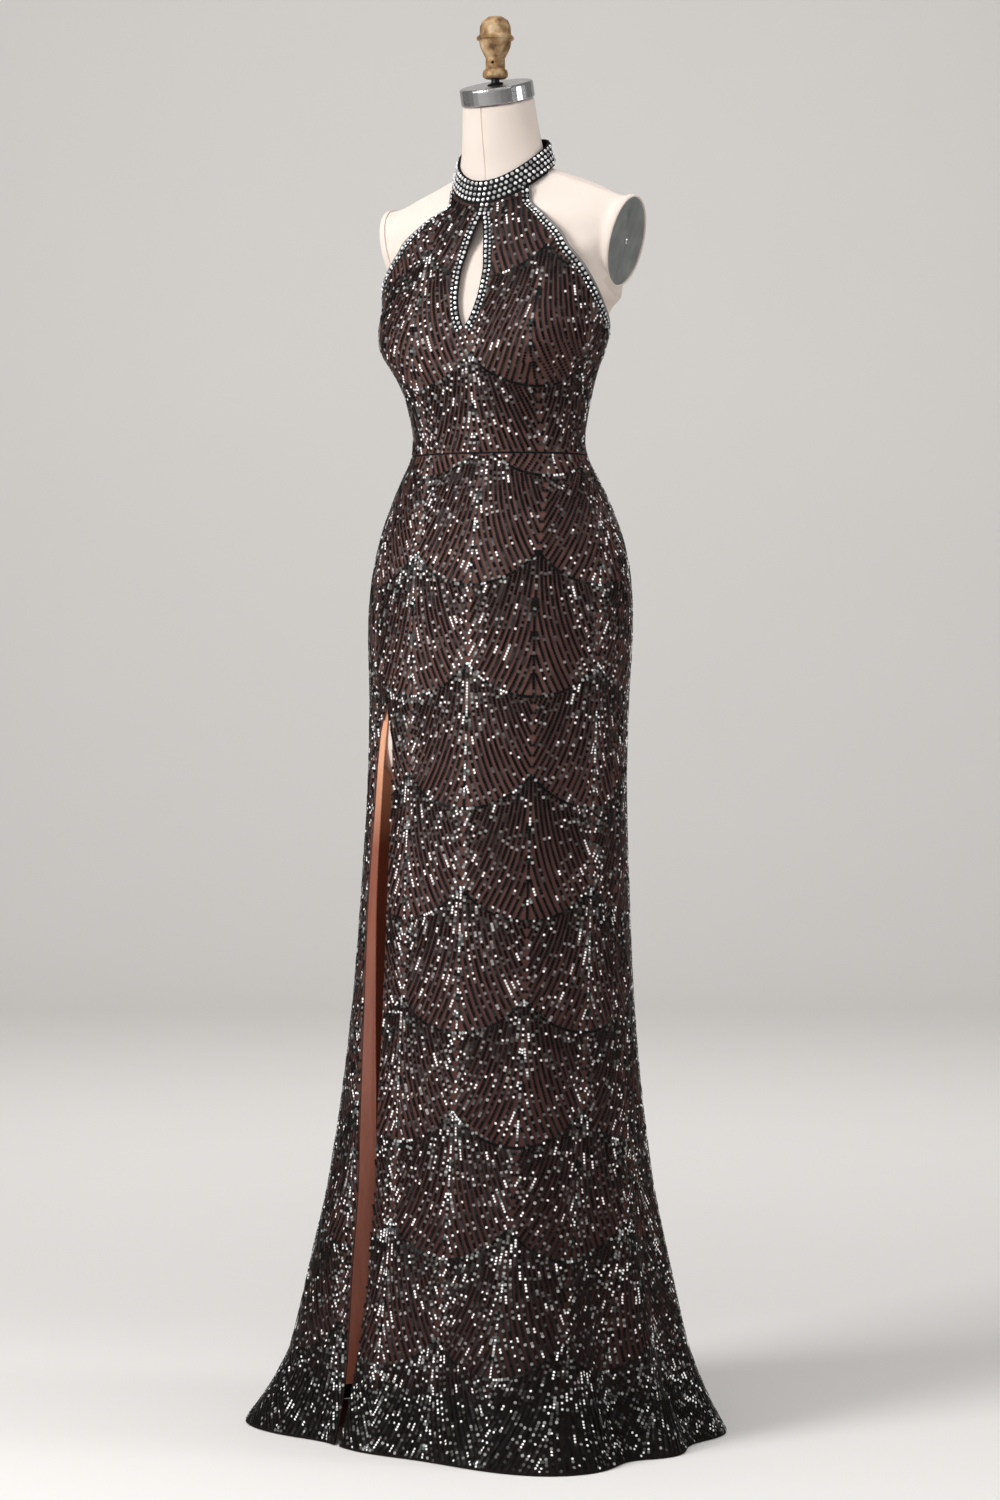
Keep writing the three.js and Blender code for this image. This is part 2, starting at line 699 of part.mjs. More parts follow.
const FORM_ROWS_Z = [
  FORM_FOOT_Z, 784, 800, 830, SLIT_TOP_Z, 925, 974, 1021, 1070, 1118, ZIP.z - ZIP.seat,
  ZIP.z + ZIP.seat, WAIST_Z, 1195, 1225, 1255, 1280, 1304, 1328, 1347, 1359, 1374, 1392, 1424, 1455,
  1479, 1491, 1499, 1504, 1507, 1511, 1539, 1565, NECK_TOP_Z,
];

// A turned solid on the tilted end of an arm, from rows of its reach and its place along the axis
function onArmEnd(sign, rows, segments) {
  const rings = rows.map(({ out, depth, height }) =>
    Array.from({ length: segments }, (_, i) => {
      const a = (i / segments) * 2 * Math.PI;
      return new THREE.Vector3(out, depth * Math.cos(a), height * Math.sin(a));
    }),
  );
  const solid = loft(rings).rotateY(rad(ARM_PLATE.tiltDeg));
  if (sign < 0) solid.rotateZ(Math.PI);
  return solid.translate(sign * ARM_PLATE.x, ARM_PLATE.y, ARM_PLATE.z);
}

function armOval(sign, grow, from, to) {
  const depth = ARM_PLATE.depth + grow;
  const height = ARM_PLATE.height + grow;
  const rows = [{ out: from, depth, height }, { out: to, depth, height }];
  return onArmEnd(sign, rows, 32);
}

function buildForm() {
  const { rim, pocket, endOut, endIn } = ARM_PLATE;
  let torso = solidOf(loft(FORM_ROWS_Z.map((z) => formRing(z, 40))));
  for (const sign of [1, -1]) {
    torso = torso.add(solidOf(armOval(sign, rim, -endIn, endOut)));
    torso = torso.subtract(solidOf(armOval(sign, FIT_GAP, -pocket, endIn)));
  }
  const bore = POLE_RADIUS + FIT_GAP;
  const socket = new THREE.CylinderGeometry(bore, bore, 2 * POLE_SOCKET, 24)
    .rotateX(Math.PI / 2)
    .translate(0, 0, FORM_FOOT_Z);
  torso = torso.subtract(solidOf(socket));
  add("form_torso", geometryFrom(torso), LINEN);
}

function buildFormMetal() {
  const plateBack = FIT_GAP - ARM_PLATE.pocket;
  const plateFace = plateBack + ARM_PLATE.thick;
  const screwRows = ARM_SCREW.map(({ rise, radius }) => ({
    out: plateFace + FIT_GAP + rise,
    depth: radius,
    height: radius,
  }));
  for (const [side, sign] of [["left", 1], ["right", -1]]) {
    add(`arm_plate_${side}`, armOval(sign, 0, plateBack, plateFace), BRUSHED_METAL);
    add(`arm_screw_${side}`, onArmEnd(sign, screwRows, 12), BRUSHED_METAL);
  }

  const ring = (grow, up) =>
    Array.from({ length: 40 }, (_, i) => {
      const a = (i / 40) * 2 * Math.PI;
      return new THREE.Vector3((CAP.side - grow) * Math.sin(a), -(CAP.depth - grow) * Math.cos(a), up);
    });
  const cap = loft([
    ring(CAP.bevel / 4, 0),
    ring(0, CAP.bevel / 3),
    ring(0, CAP.height - CAP.bevel),
    ring(CAP.bevel / 3, CAP.height - CAP.bevel / 3),
    ring(CAP.bevel, CAP.height),
  ]);
  const neck = formSection(NECK_TOP_Z);
  cap.rotateX(rad(CAP.tiltDeg)).translate(0, neck.shift, NECK_TOP_Z + CAP.gap);
  add("neck_cap", cap, BRUSHED_METAL);

  // The top of the cap is a tilted plane, which the stem stands on
  const capTop = (y) => {
    const tilt = rad(CAP.tiltDeg);
    const rise = (CAP.height + FIT_GAP) / Math.cos(tilt);
    return NECK_TOP_Z + CAP.gap + rise + (y - neck.shift) * Math.tan(tilt);
  };
  const circle = (radius, zOf) =>
    Array.from({ length: 20 }, (_, i) => {
      const a = (i / 20) * 2 * Math.PI;
      const y = FINIAL_Y - radius * Math.cos(a);
      return new THREE.Vector3(radius * Math.sin(a), y, zOf(y));
    });
  const stem = loft([
    circle(2 * STEM_RADIUS, capTop),
    circle(1.8 * STEM_RADIUS, (y) => capTop(y) + STEM_NUT / 2),
    circle(STEM_RADIUS, (y) => capTop(y) + STEM_NUT),
    circle(STEM_RADIUS, () => FINIAL_Z - FIT_GAP),
  ]);
  add("finial_stem", stem, DARK_METAL);

  const { radius, length, facingDeg } = FINIAL_HOLE;
  const hole = new THREE.CylinderGeometry(radius, radius, length, 12)
    .rotateZ(rad(facingDeg))
    .translate(0, 0, FINIAL_HOLE.z);
  const knob = solidOf(lathe(FINIAL_PROFILE, 24)).subtract(solidOf(hole));
  const finial = add("finial", geometryFrom(knob), AGED_BRASS);
  finial.position.set(0, FINIAL_Y, FINIAL_Z);
}

function buildStand() {
  const barX = new THREE.BoxGeometry(2 * FOOT.reach, FOOT.width, FOOT.thick);
  const barY = new THREE.BoxGeometry(FOOT.width, 2 * FOOT.reach, FOOT.thick);
  const hub = lathe(
    [
      { r: FOOT.hubRadius + 4, z: 0 },
      { r: FOOT.hubRadius + 4, z: FOOT.thick },
      { r: FOOT.hubRadius, z: FOOT.thick + 6 },
      { r: FOOT.hubRadius - 3, z: FOOT.hubTop - 3 },
      { r: FOOT.hubRadius - 5, z: FOOT.hubTop },
    ],
    24,
  );
  const boreRadius = POLE_RADIUS + FIT_GAP;
  const bore = new THREE.CylinderGeometry(boreRadius, boreRadius, FOOT.hubTop, 24)
    .rotateX(Math.PI / 2)
    .translate(0, 0, FOOT.thick + FOOT.hubTop / 2);
  const lift = FOOT.thick / 2;
  const foot = solidOf(barX.translate(0, 0, lift))
    .add(solidOf(barY.translate(0, 0, lift)))
    .add(solidOf(hub))
    .subtract(solidOf(bore));
  add("stand_foot", geometryFrom(foot), DARK_METAL);
  const poleLow = FOOT.thick + FIT_GAP;
  const poleTop = FORM_FOOT_Z + POLE_SOCKET - FIT_GAP;
  const pole = new THREE.CylinderGeometry(POLE_RADIUS, POLE_RADIUS, poleTop - poleLow, 24)
    .rotateX(Math.PI / 2)
    .translate(0, 0, (poleTop + poleLow) / 2);
  add("stand_pole", pole, DARK_METAL);
}

// The slider of the hidden zip at the centre back, and the pull tab that swings on it
function buildZip() {
  const below = gownPoint(180, ZIP.z - ZIP.seat).y;
  const above = gownPoint(180, ZIP.z + ZIP.seat).y;
  const group = new THREE.Group();
  group.position.set(0, (below + above) / 2, ZIP.z);
  const lean = Math.atan2(below - above, 2 * ZIP.seat);
  group.rotation.x = lean;
  gown.add(group);
  const { sliderWidth, sliderHeight, sliderThick } = ZIP;
  const body = new THREE.Shape();
  body.moveTo(-sliderWidth / 2, 0);
  body.lineTo(-sliderWidth * 0.32, -sliderHeight / 2);
  body.lineTo(sliderWidth * 0.32, -sliderHeight / 2);
  body.lineTo(sliderWidth / 2, 0);
  body.lineTo(sliderWidth * 0.4, sliderHeight / 2);
  body.lineTo(-sliderWidth * 0.4, sliderHeight / 2);
  let slider = solidOf(orientPlate(body, sliderThick, FIT_GAP));
  for (const sign of [1, -1]) {
    const x = sign * (ZIP_TAB.barrelWidth / 2 + FIT_GAP + ZIP_EAR.thick / 2);
    const ear = new THREE.CylinderGeometry(ZIP_EAR.radius, ZIP_EAR.radius, ZIP_EAR.thick, 12)
      .rotateZ(Math.PI / 2)
      .translate(x, tabAxis().y, tabAxis().z);
    slider = slider.add(solidOf(ear));
  }
  add("zip_slider", geometryFrom(slider), DARK_METAL, group);

  const tabShape = new THREE.Shape();
  const { length, width, neck } = ZIP_TAB;
  tabShape.moveTo(-neck / 2 + 0.8, 0);
  tabShape.lineTo(-neck / 2 + 0.8, -3);
  tabShape.quadraticCurveTo(-neck / 2, -5, -width / 2, -length + 5);
  tabShape.quadraticCurveTo(-width / 2, -length, 0, -length);
  tabShape.quadraticCurveTo(width / 2, -length, width / 2, -length + 5);
  tabShape.quadraticCurveTo(neck / 2, -5, neck / 2 - 0.8, -3);
  tabShape.lineTo(neck / 2 - 0.8, 0);
  const blade = orientPlate(tabShape, ZIP_TAB.thick, -ZIP_TAB.thick / 2, 5);
  const barrel = new THREE.CylinderGeometry(ZIP_TAB.barrel, ZIP_TAB.barrel, ZIP_TAB.barrelWidth, 12).rotateZ(
    Math.PI / 2,
  );
  const tab = add("zip_tab", geometryFrom(solidOf(blade).add(solidOf(barrel))), DARK_METAL, group);
  tab.position.copy(tabAxis());
}

// A flat plate cut to a shape drawn in X and Z, standing off the cloth in Y from low to low + thick
function orientPlate(shape, thick, low, curveSegments = 4) {
  return new THREE.ExtrudeGeometry(shape, { depth: thick, bevelEnabled: false, curveSegments })
    .rotateX(Math.PI / 2)
    .translate(0, low + thick, 0);
}

function tabAxis() {
  return new THREE.Vector3(0, ZIP.sliderThick + ZIP_TAB.barrel + 2 * FIT_GAP, -1);
}

buildSkirt();
buildLining();
buildBodice();
buildBindings();
buildCollar();
buildForm();
buildFormMetal();
buildStand();
buildZip();

export default gown;
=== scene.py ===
"""Looks of the halter evening gown on its dress form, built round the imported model."""

import math
import bmesh
import bpy
import numpy as np
from mathutils import Euler, Matrix, Vector


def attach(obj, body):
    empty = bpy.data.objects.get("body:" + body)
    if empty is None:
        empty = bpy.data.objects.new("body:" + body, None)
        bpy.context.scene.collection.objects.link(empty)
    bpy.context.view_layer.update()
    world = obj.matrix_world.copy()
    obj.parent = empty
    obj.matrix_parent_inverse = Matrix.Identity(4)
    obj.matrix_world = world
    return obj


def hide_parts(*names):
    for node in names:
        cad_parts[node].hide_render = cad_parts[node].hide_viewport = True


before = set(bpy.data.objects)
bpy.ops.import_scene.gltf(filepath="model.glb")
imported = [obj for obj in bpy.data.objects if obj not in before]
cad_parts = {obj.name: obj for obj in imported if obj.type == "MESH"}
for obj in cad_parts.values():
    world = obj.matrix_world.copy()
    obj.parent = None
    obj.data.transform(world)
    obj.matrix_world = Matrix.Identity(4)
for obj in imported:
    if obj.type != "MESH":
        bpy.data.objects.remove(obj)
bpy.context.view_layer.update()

GOWN = "gown_on_form"
MM = 0.001

# The camera of the photograph: its bearing from the front, distance, height and focal length

PHOTO_HEIGHT_PX = 1500
SENSOR = 36.0
FOCAL_PX = 3870
BEARING = math.radians(30)
CAMERA_DISTANCE = 4.662
CAMERA_HEIGHT = 0.9324
CAMERA_ASIDE = 0.0036
HORIZON_PX = 655.6

camera_data = bpy.data.cameras.new("camera")
camera_data.lens = FOCAL_PX / PHOTO_HEIGHT_PX * SENSOR
camera_data.sensor_width = SENSOR
camera_data.clip_end = 60
camera = bpy.data.objects.new("camera", camera_data)
bpy.context.collection.objects.link(camera)
pitch = math.atan((PHOTO_HEIGHT_PX / 2 - HORIZON_PX) / FOCAL_PX)
camera.location = (
    math.sin(BEARING) * CAMERA_DISTANCE + math.cos(BEARING) * CAMERA_ASIDE,
    -math.cos(BEARING) * CAMERA_DISTANCE + math.sin(BEARING) * CAMERA_ASIDE,
    CAMERA_HEIGHT,
)
camera.rotation_euler = Euler((math.pi / 2 - pitch, 0, BEARING))
bpy.context.scene.camera = camera
bpy.context.scene.view_settings.view_transform = "Standard"

# Sizes of the gown in millimetres, as in the part's source

WAIST_Z = 1172
HEM_Z = 1
LINING_HEM_Z = 70
FORM_FOOT_Z = 777
NECK_TOP_Z = 1598
SEAM_GAP = 0.4
LINING_EASE = 2.2
FORM_EASE = 4.4
BODICE_EASE = 6.5
SIDE_SEAM = 86
SIDE_SEAM_TOP_Z = 1347
LINING_FACING = 9
LINING_RECESS = 2
KEYHOLE_X = 5.5
CUP = {"at": 40, "z": 1306, "reach": 26, "spread": 20, "above": 40, "below": 32}
COLLAR = {"side": 65, "front": 37.5, "back": 61.5, "shift": 20}
COLLAR_FRONT_Z = 1472
COLLAR_SLOPE = 1.02
COLLAR_EASING = 0.0044
COLLAR_HEIGHT = 27
COLLAR_LEAN = {"side": 0.27, "front": 0.12, "back": 0.27}
ARM_PLATE = {"x": 157, "y": 35, "z": 1425, "depth": 40, "height": 52.5, "tilt": 14, "rim": 3, "pocket": 3}


def table(columns, rows):
    names = columns.split()
    return [dict(zip(names, row)) for row in rows]


GOWN_SECTIONS = table(
    "z side front back shift",
    [
        (0, 262, 223, 304, 0),
        (52, 237, 207, 276, 0),
        (104, 220, 197, 252, 0),
        (207, 202, 178, 215, 0),
        (311, 185, 162, 184, 2),
        (518, 167, 144, 153, 0),
        (673, 162, 135, 140, 0),
        (777, 160, 128, 135, 0),
        (877, 162, 122, 139, 1),
        (974, 166, 119, 143, 3),
        (1021, 163, 114, 141, 5),
        (1070, 153, 107, 134, 7),
        (1118, 135, 97, 119, 6),
        (1145, 122, 89, 107, 5),
        (1172, 109, 83, 98, 4),
        (1192, 106, 83, 97, 3),
        (1214, 109, 85, 98, 3),
        (1263, 121, 89, 99, 4),
        (1311, 140, 83, 99, 4),
        (1347, 147, 78, 100, 3),
        (1383, 155, 70, 102, 2),
        (1424, 148, 57, 104, 3),
        (1452, 115, 47, 104, 6),
        (1475, 68, 38, 104, 11),
        (1500, 65, 37, 104, 12),
    ],
)
FLUTES = table(
    "at reach spread top power",
    [
        (-70, 18, 12, 95, 1.2),
        (-60, 40, 15, 930, 1.5),
        (-31, -12, 8, 420, 1.8),
        (4, -5, 10, 420, 1.8),
        (40, 58, 16, 620, 2.0),
        (62, -16, 6, 560, 1.6),
        (79, 12, 7, 520, 1.6),
        (94, -9, 6, 420, 1.6),
        (108, 15, 8, 480, 1.7),
        (127, -20, 9, 520, 1.8),
        (149, 16, 9, 480, 1.8),
        (168, -9, 7, 420, 1.8),
        (190, 9, 8, 420, 1.8),
        (211, -12, 8, 460, 1.8),
        (232, 15, 9, 500, 1.8),
        (252, -14, 8, 440, 1.8),
        (272, 12, 8, 460, 1.8),
    ],
)
LINING_SECTIONS = table(
    "z side front back shift",
    [
        (70, 184, 166, 186, 0),
        (207, 177, 156, 172, 0),
        (311, 171.5, 150, 161, 0),
        (420, 166, 144.5, 153, 0),
        (518, 163, 140.5, 148, 0),
    ],
)
FORM_SECTIONS = table(
    "z side front back shift roundness tilt lift",
    [
        (1347, 141, 71, 96, 10, 2.2, 0, 0),
        (1359, 149, 68, 98, 24, 2.2, 0, 0),
        (1374, 151, 65, 99, 27, 2.1, 0.02, 0),
        (1392, 150.5, 61, 101, 28, 2.05, 0.06, 0),
        (1424, 155, 53, 103, 27, 2.1, 0.18, 0.05),
        (1455, 167, 40, 100, 25, 1.9, 0.38, 0.1),
        (1479, 170, 35.5, 92, 26, 1.8, 0.54, 0.15),
        (1491, 163, 33.4, 83, 27, 1.75, 0.64, 0.22),
        (1499, 142, 33, 75, 26, 1.65, 0.76, 0.3),
        (1504, 109, 31, 65, 23, 1.55, 0.89, 0.3),
        (1507, 79, 31, 58, 18, 1.7, 0.89, 0.4),
        (1511, 59, 32, 53, 12, 2.0, 0.8, 0.5),
        (1539, 52, 28.5, 49, 11, 2.0, 0.78, 0.5),
        (1565, 47, 34, 48, 8, 2.0, 0.55, 0.4),
        (1598, 43, 40, 46, 3, 2.0, 0.287, 0.287),
    ],
)
FORM_FOOT = table("z inset", [(777, 42), (784, 26), (800, 14), (830, 6), (880, 4.4)])
ARMHOLE_EDGE = table(
    "z angle",
    [
        (1318, 110),
        (1327, 103),
        (1340, 92),
        (1353, 82),
        (1373, 69.6),
        (1395, 60.5),
        (1424, 50),
        (1452, 48),
        (1475, 56),
        (1500, 57),
    ],
)
BACK_EDGE = table("z angle", [(1172, 117), (1250, 113), (1318, 110)])
KEYHOLE = table(
    "z half",
    [(1319, 0), (1329, 5.5), (1342, 10), (1363, 14), (1386, 15), (1411, 11.4), (1437, 6.4), (1458, 0)],
)
SLIT = table(
    "z side main",
    [
        (0, 25.2, 22.8),
        (77, 28.5, 24.3),
        (170, 31.9, 23.8),
        (285, 35.5, 26),
        (404, 40.3, 28.6),
        (518, 44.5, 29.8),
        (645, 47.2, 30.2),
        (776, 45.1, 29.9),
        (837, 41.8, 31),
        (869, 36, 36),
    ],
)
SLIT_TOP_Z = SLIT[-1]["z"]


# Curves and surfaces of the gown, for whole arrays of angles and heights


def curve_of(rows, column):
    """A smooth curve through a table's column that never overshoots between two rows."""
    z = np.array([row["z"] for row in rows], float)
    y = np.array([row[column] for row in rows], float)
    slopes = np.diff(y) / np.diff(z)
    before = np.concatenate([slopes[:1], slopes])
    after = np.concatenate([slopes, slopes[-1:]])
    product = before * after
    total = np.where(before + after == 0, 1, before + after)
    tangents = np.where(product <= 0, 0, 2 * product / total)

    def curve(at):
        at = np.clip(np.asarray(at, float), z[0], z[-1])
        i = np.clip(np.searchsorted(z, at, side="right") - 1, 0, len(z) - 2)
        h = z[i + 1] - z[i]
        s = (at - z[i]) / h
        return (
            y[i] * (1 + 2 * s) * (1 - s) ** 2
            + tangents[i] * h * s * (1 - s) ** 2
            + y[i + 1] * s * s * (3 - 2 * s)
            + tangents[i + 1] * h * s * s * (s - 1)
        )

    return curve


def sections_of(rows):
    curves = {column: curve_of(rows, column) for column in rows[0] if column != "z"}
    return lambda z: {column: curve(z) for column, curve in curves.items()}


def section_point(section, angle, z):
    s = np.sin(np.radians(angle))
    c = np.cos(np.radians(angle))
    shift = section["shift"]
    depth = np.where(c > 0, section["front"] + shift, section["back"] - shift)
    power = 2 / section.get("roundness", 2)
    x = section["side"] * np.sign(s) * np.abs(s) ** power
    y = shift - depth * np.sign(c) * np.abs(c) ** power
    return np.stack(np.broadcast_arrays(x, y, z), axis=-1).astype(float)


def turn(angle, centre):
    return (angle - centre + 180) % 360 - 180


def bell(distance, spread):
    return np.exp(-0.5 * (distance / spread) ** 2)


def flute_reach(angle, z):
    reach = 0
    for flute in FLUTES:
        grown = np.clip((flute["top"] - z) / flute["top"], 0, None) ** flute["power"]
        reach = reach + flute["reach"] * grown * bell(turn(angle, flute["at"]), flute["spread"])
    return reach


def cup_reach(angle, z):
    along = np.where(z > CUP["z"], CUP["above"], CUP["below"])
    left = bell(turn(angle, CUP["at"]), CUP["spread"])
    right = bell(turn(angle, -CUP["at"]), CUP["spread"])
    return CUP["reach"] * bell(z - CUP["z"], along) * (left + right)


def pushed_out(points, angle, reach):
    points[..., 0] += reach * np.sin(np.radians(angle))
    points[..., 1] -= reach * np.cos(np.radians(angle))
    return points


def eased(row, ease):
    return {**row, "side": row["side"] - ease, "front": row["front"] - ease, "back": row["back"] - ease}


gown_section = sections_of(GOWN_SECTIONS)


def gown_point(angle, z):
    points = section_point(gown_section(z), angle, z)
    return pushed_out(points, angle, flute_reach(angle, z) + cup_reach(angle, z))


straight_rows = [row for row in GOWN_SECTIONS if row["z"] > LINING_SECTIONS[-1]["z"]]
lining_section = sections_of(LINING_SECTIONS + [eased(row, LINING_EASE) for row in straight_rows])


def lining_point(angle, z):
    return section_point(lining_section(z), angle, z)


def form_row(row):
    ease = BODICE_EASE if row["z"] > WAIST_Z else FORM_EASE
    return {**eased(row, ease), "roundness": 2, "tilt": 0, "lift": 0}


form_rows = [row for row in GOWN_SECTIONS if FORM_FOOT_Z <= row["z"] < FORM_SECTIONS[0]["z"]]
form_section = sections_of([form_row(row) for row in form_rows] + FORM_SECTIONS)
foot_inset = curve_of(FORM_FOOT, "inset")


def form_point(angle, z):
    section = form_section(z)
    inset = np.where(np.asarray(z) < FORM_FOOT[-1]["z"], foot_inset(z) - FORM_EASE, 0)
    for side in ("side", "front", "back"):
        section[side] = section[side] - inset
    points = pushed_out(section_point(section, angle, z), angle, cup_reach(angle, z))
    behind = points[..., 1] - section["shift"]
    points[..., 2] += np.where(behind < 0, section["tilt"], section["lift"]) * behind
    return points


def collar_low_z(y):
    behind = y + COLLAR["front"]
    return COLLAR_FRONT_Z + COLLAR_SLOPE * behind - COLLAR_EASING * behind**2


def collar_point(angle, height):
    low = section_point(COLLAR, angle, 0.0)
    drawn = {**COLLAR}
    for side, lean in COLLAR_LEAN.items():
        drawn[side] = COLLAR[side] - lean * height
    points = section_point(drawn, angle, 0.0)
    points[..., 2] = collar_low_z(low[..., 1]) + height
    return points


def unit(vectors):
    return vectors / np.maximum(np.linalg.norm(vectors, axis=-1, keepdims=True), 1e-9)


def normal_of(surface, angle, z):
    """The outward normal of a surface that is given by angle and height."""
    round_body = surface(angle + 0.5, z) - surface(angle - 0.5, z)
    up = surface(angle, z + 1) - surface(angle, z - 1)
    return unit(np.cross(round_body, up))


# Making pieces


def new_piece(name, mesh, material=None, body=GOWN):
    piece = bpy.data.objects.new(name, mesh)
    bpy.context.collection.objects.link(piece)
    if material:
        mesh.materials.clear()
        mesh.materials.append(material)
    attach(piece, body)
    return piece


def mesh_from(name, points_mm, faces, smooth_angle=50):
    mesh = bpy.data.meshes.new(name)
    mesh.from_pydata([tuple(p) for p in np.asarray(points_mm) * MM], [], faces)
    mesh.validate()
    mesh.polygons.foreach_set("use_smooth", [True] * len(mesh.polygons))
    mesh.set_sharp_from_angle(angle=math.radians(smooth_angle))
    return mesh


def add_value(mesh, name, values):
    attribute = mesh.attributes.new(name, "FLOAT", "POINT")
    attribute.data.foreach_set("value", np.asarray(values, float))


def strip(surface, wall, angles, heights, out=0.0):
    """Rows of wall points over a surface, with the two sides of the wall."""
    normal = normal_of(surface, angles, heights)
    points = surface(angles, heights)
    return points + normal * out, points + normal * (out - wall)


def cloth_wall(name, strips, values=None):
    """A closed cloth wall from grids of points. Strips that share points are sewn into one."""
    ids = {}
    outer = []
    inner = []
    kept = []
    grids = []
    for number, (outside, inside) in enumerate(strips):
        rows, columns = outside.shape[:2]
        grid = np.empty((rows, columns), int)
        keys = np.round(outside * 50).astype(int)
        for j in range(rows):
            for i in range(columns):
                key = tuple(keys[j, i])
                if key not in ids:
                    ids[key] = len(outer)
                    outer.append(outside[j, i])
                    inner.append(inside[j, i])
                    if values is not None:
                        kept.append(values[number][j, i])
                grid[j, i] = ids[key]
        grids.append(grid)
    cells = []
    for grid in grids:
        for j in range(grid.shape[0] - 1):
            for i in range(grid.shape[1] - 1):
                corners = [grid[j, i], grid[j, i + 1], grid[j + 1, i + 1], grid[j + 1, i]]
                cell = [int(c) for k, c in enumerate(corners) if c != corners[(k + 1) % 4]]
                if len(cell) > 2:
                    cells.append(cell)
    count = len(outer)
    faces = []
    edges = set()
    for cell in cells:
        for k, a in enumerate(cell):
            edges.add((a, cell[(k + 1) % len(cell)]))
    for cell in cells:
        faces.append(cell)
        faces.append([count + a for a in reversed(cell)])
        for k, a in enumerate(cell):
            b = cell[(k + 1) % len(cell)]
            if (b, a) not in edges:
                faces.append([b, a, count + a, count + b])
    mesh = mesh_from(name, np.array(outer + inner), faces)
    if values is not None:
        add_value(mesh, "lined", kept + kept)
    return mesh


def swept(name, path, across, out, outline, closed=False):
    """A bar with the outline (across, out) in millimetres, swept along a path."""
    points = []
    for dx, dz in outline:
        points.append(path + across * dx + out * dz)
    grid = np.stack(points, axis=1)
    rows, around = grid.shape[:2]
    faces = []
    for j in range(rows if closed else rows - 1):
        following = (j + 1) % rows
        for i in range(around):
            k = (i + 1) % around
            faces.append([j * around + i, j * around + k, following * around + k, following * around + i])
    if not closed:
        faces.append(list(reversed(range(around))))
        faces.append([(rows - 1) * around + i for i in range(around)])
    mesh = mesh_from(name, grid.reshape(-1, 3), faces)
    outward(mesh)
    return mesh


def outward(mesh):
    """Turns a closed mesh's faces outwards."""
    shape = bmesh.new()
    shape.from_mesh(mesh)
    bmesh.ops.recalc_face_normals(shape, faces=shape.faces)
    shape.to_mesh(mesh)
    shape.free()


def loft(name, rings, smooth_angle=40):
    around = rings[0].shape[0]
    points = np.concatenate(rings)
    faces = []
    for j in range(len(rings) - 1):
        for i in range(around):
            k = (i + 1) % around
            faces.append([j * around + i, j * around + k, (j + 1) * around + k, (j + 1) * around + i])
    faces.append(list(reversed(range(around))))
    faces.append([(len(rings) - 1) * around + i for i in range(around)])
    mesh = mesh_from(name, points, faces, smooth_angle)
    outward(mesh)
    return mesh


# Materials: sockets as values, with the operators that are used


class Value:
    def __init__(self, nodes, socket):
        self.nodes = nodes
        self.socket = socket

    def _math(self, operation, first, second):
        return self.nodes.add("ShaderNodeMath", {"operation": operation}, {0: first, 1: second})

    def __add__(self, other):
        return self._math("ADD", self, other)

    def __radd__(self, other):
        return self._math("ADD", other, self)

    def __sub__(self, other):
        return self._math("SUBTRACT", self, other)

    def __rsub__(self, other):
        return self._math("SUBTRACT", other, self)

    def __mul__(self, other):
        return self._math("MULTIPLY", self, other)

    def __rmul__(self, other):
        return self._math("MULTIPLY", other, self)

    def __truediv__(self, other):
        return self._math("DIVIDE", self, other)

    def above(self, limit):
        return self._math("GREATER_THAN", self, limit)

    def power(self, exponent):
        return self._math("POWER", self, exponent)

    def clamped(self):
        return self.nodes.add("ShaderNodeClamp", {}, {"Value": self})


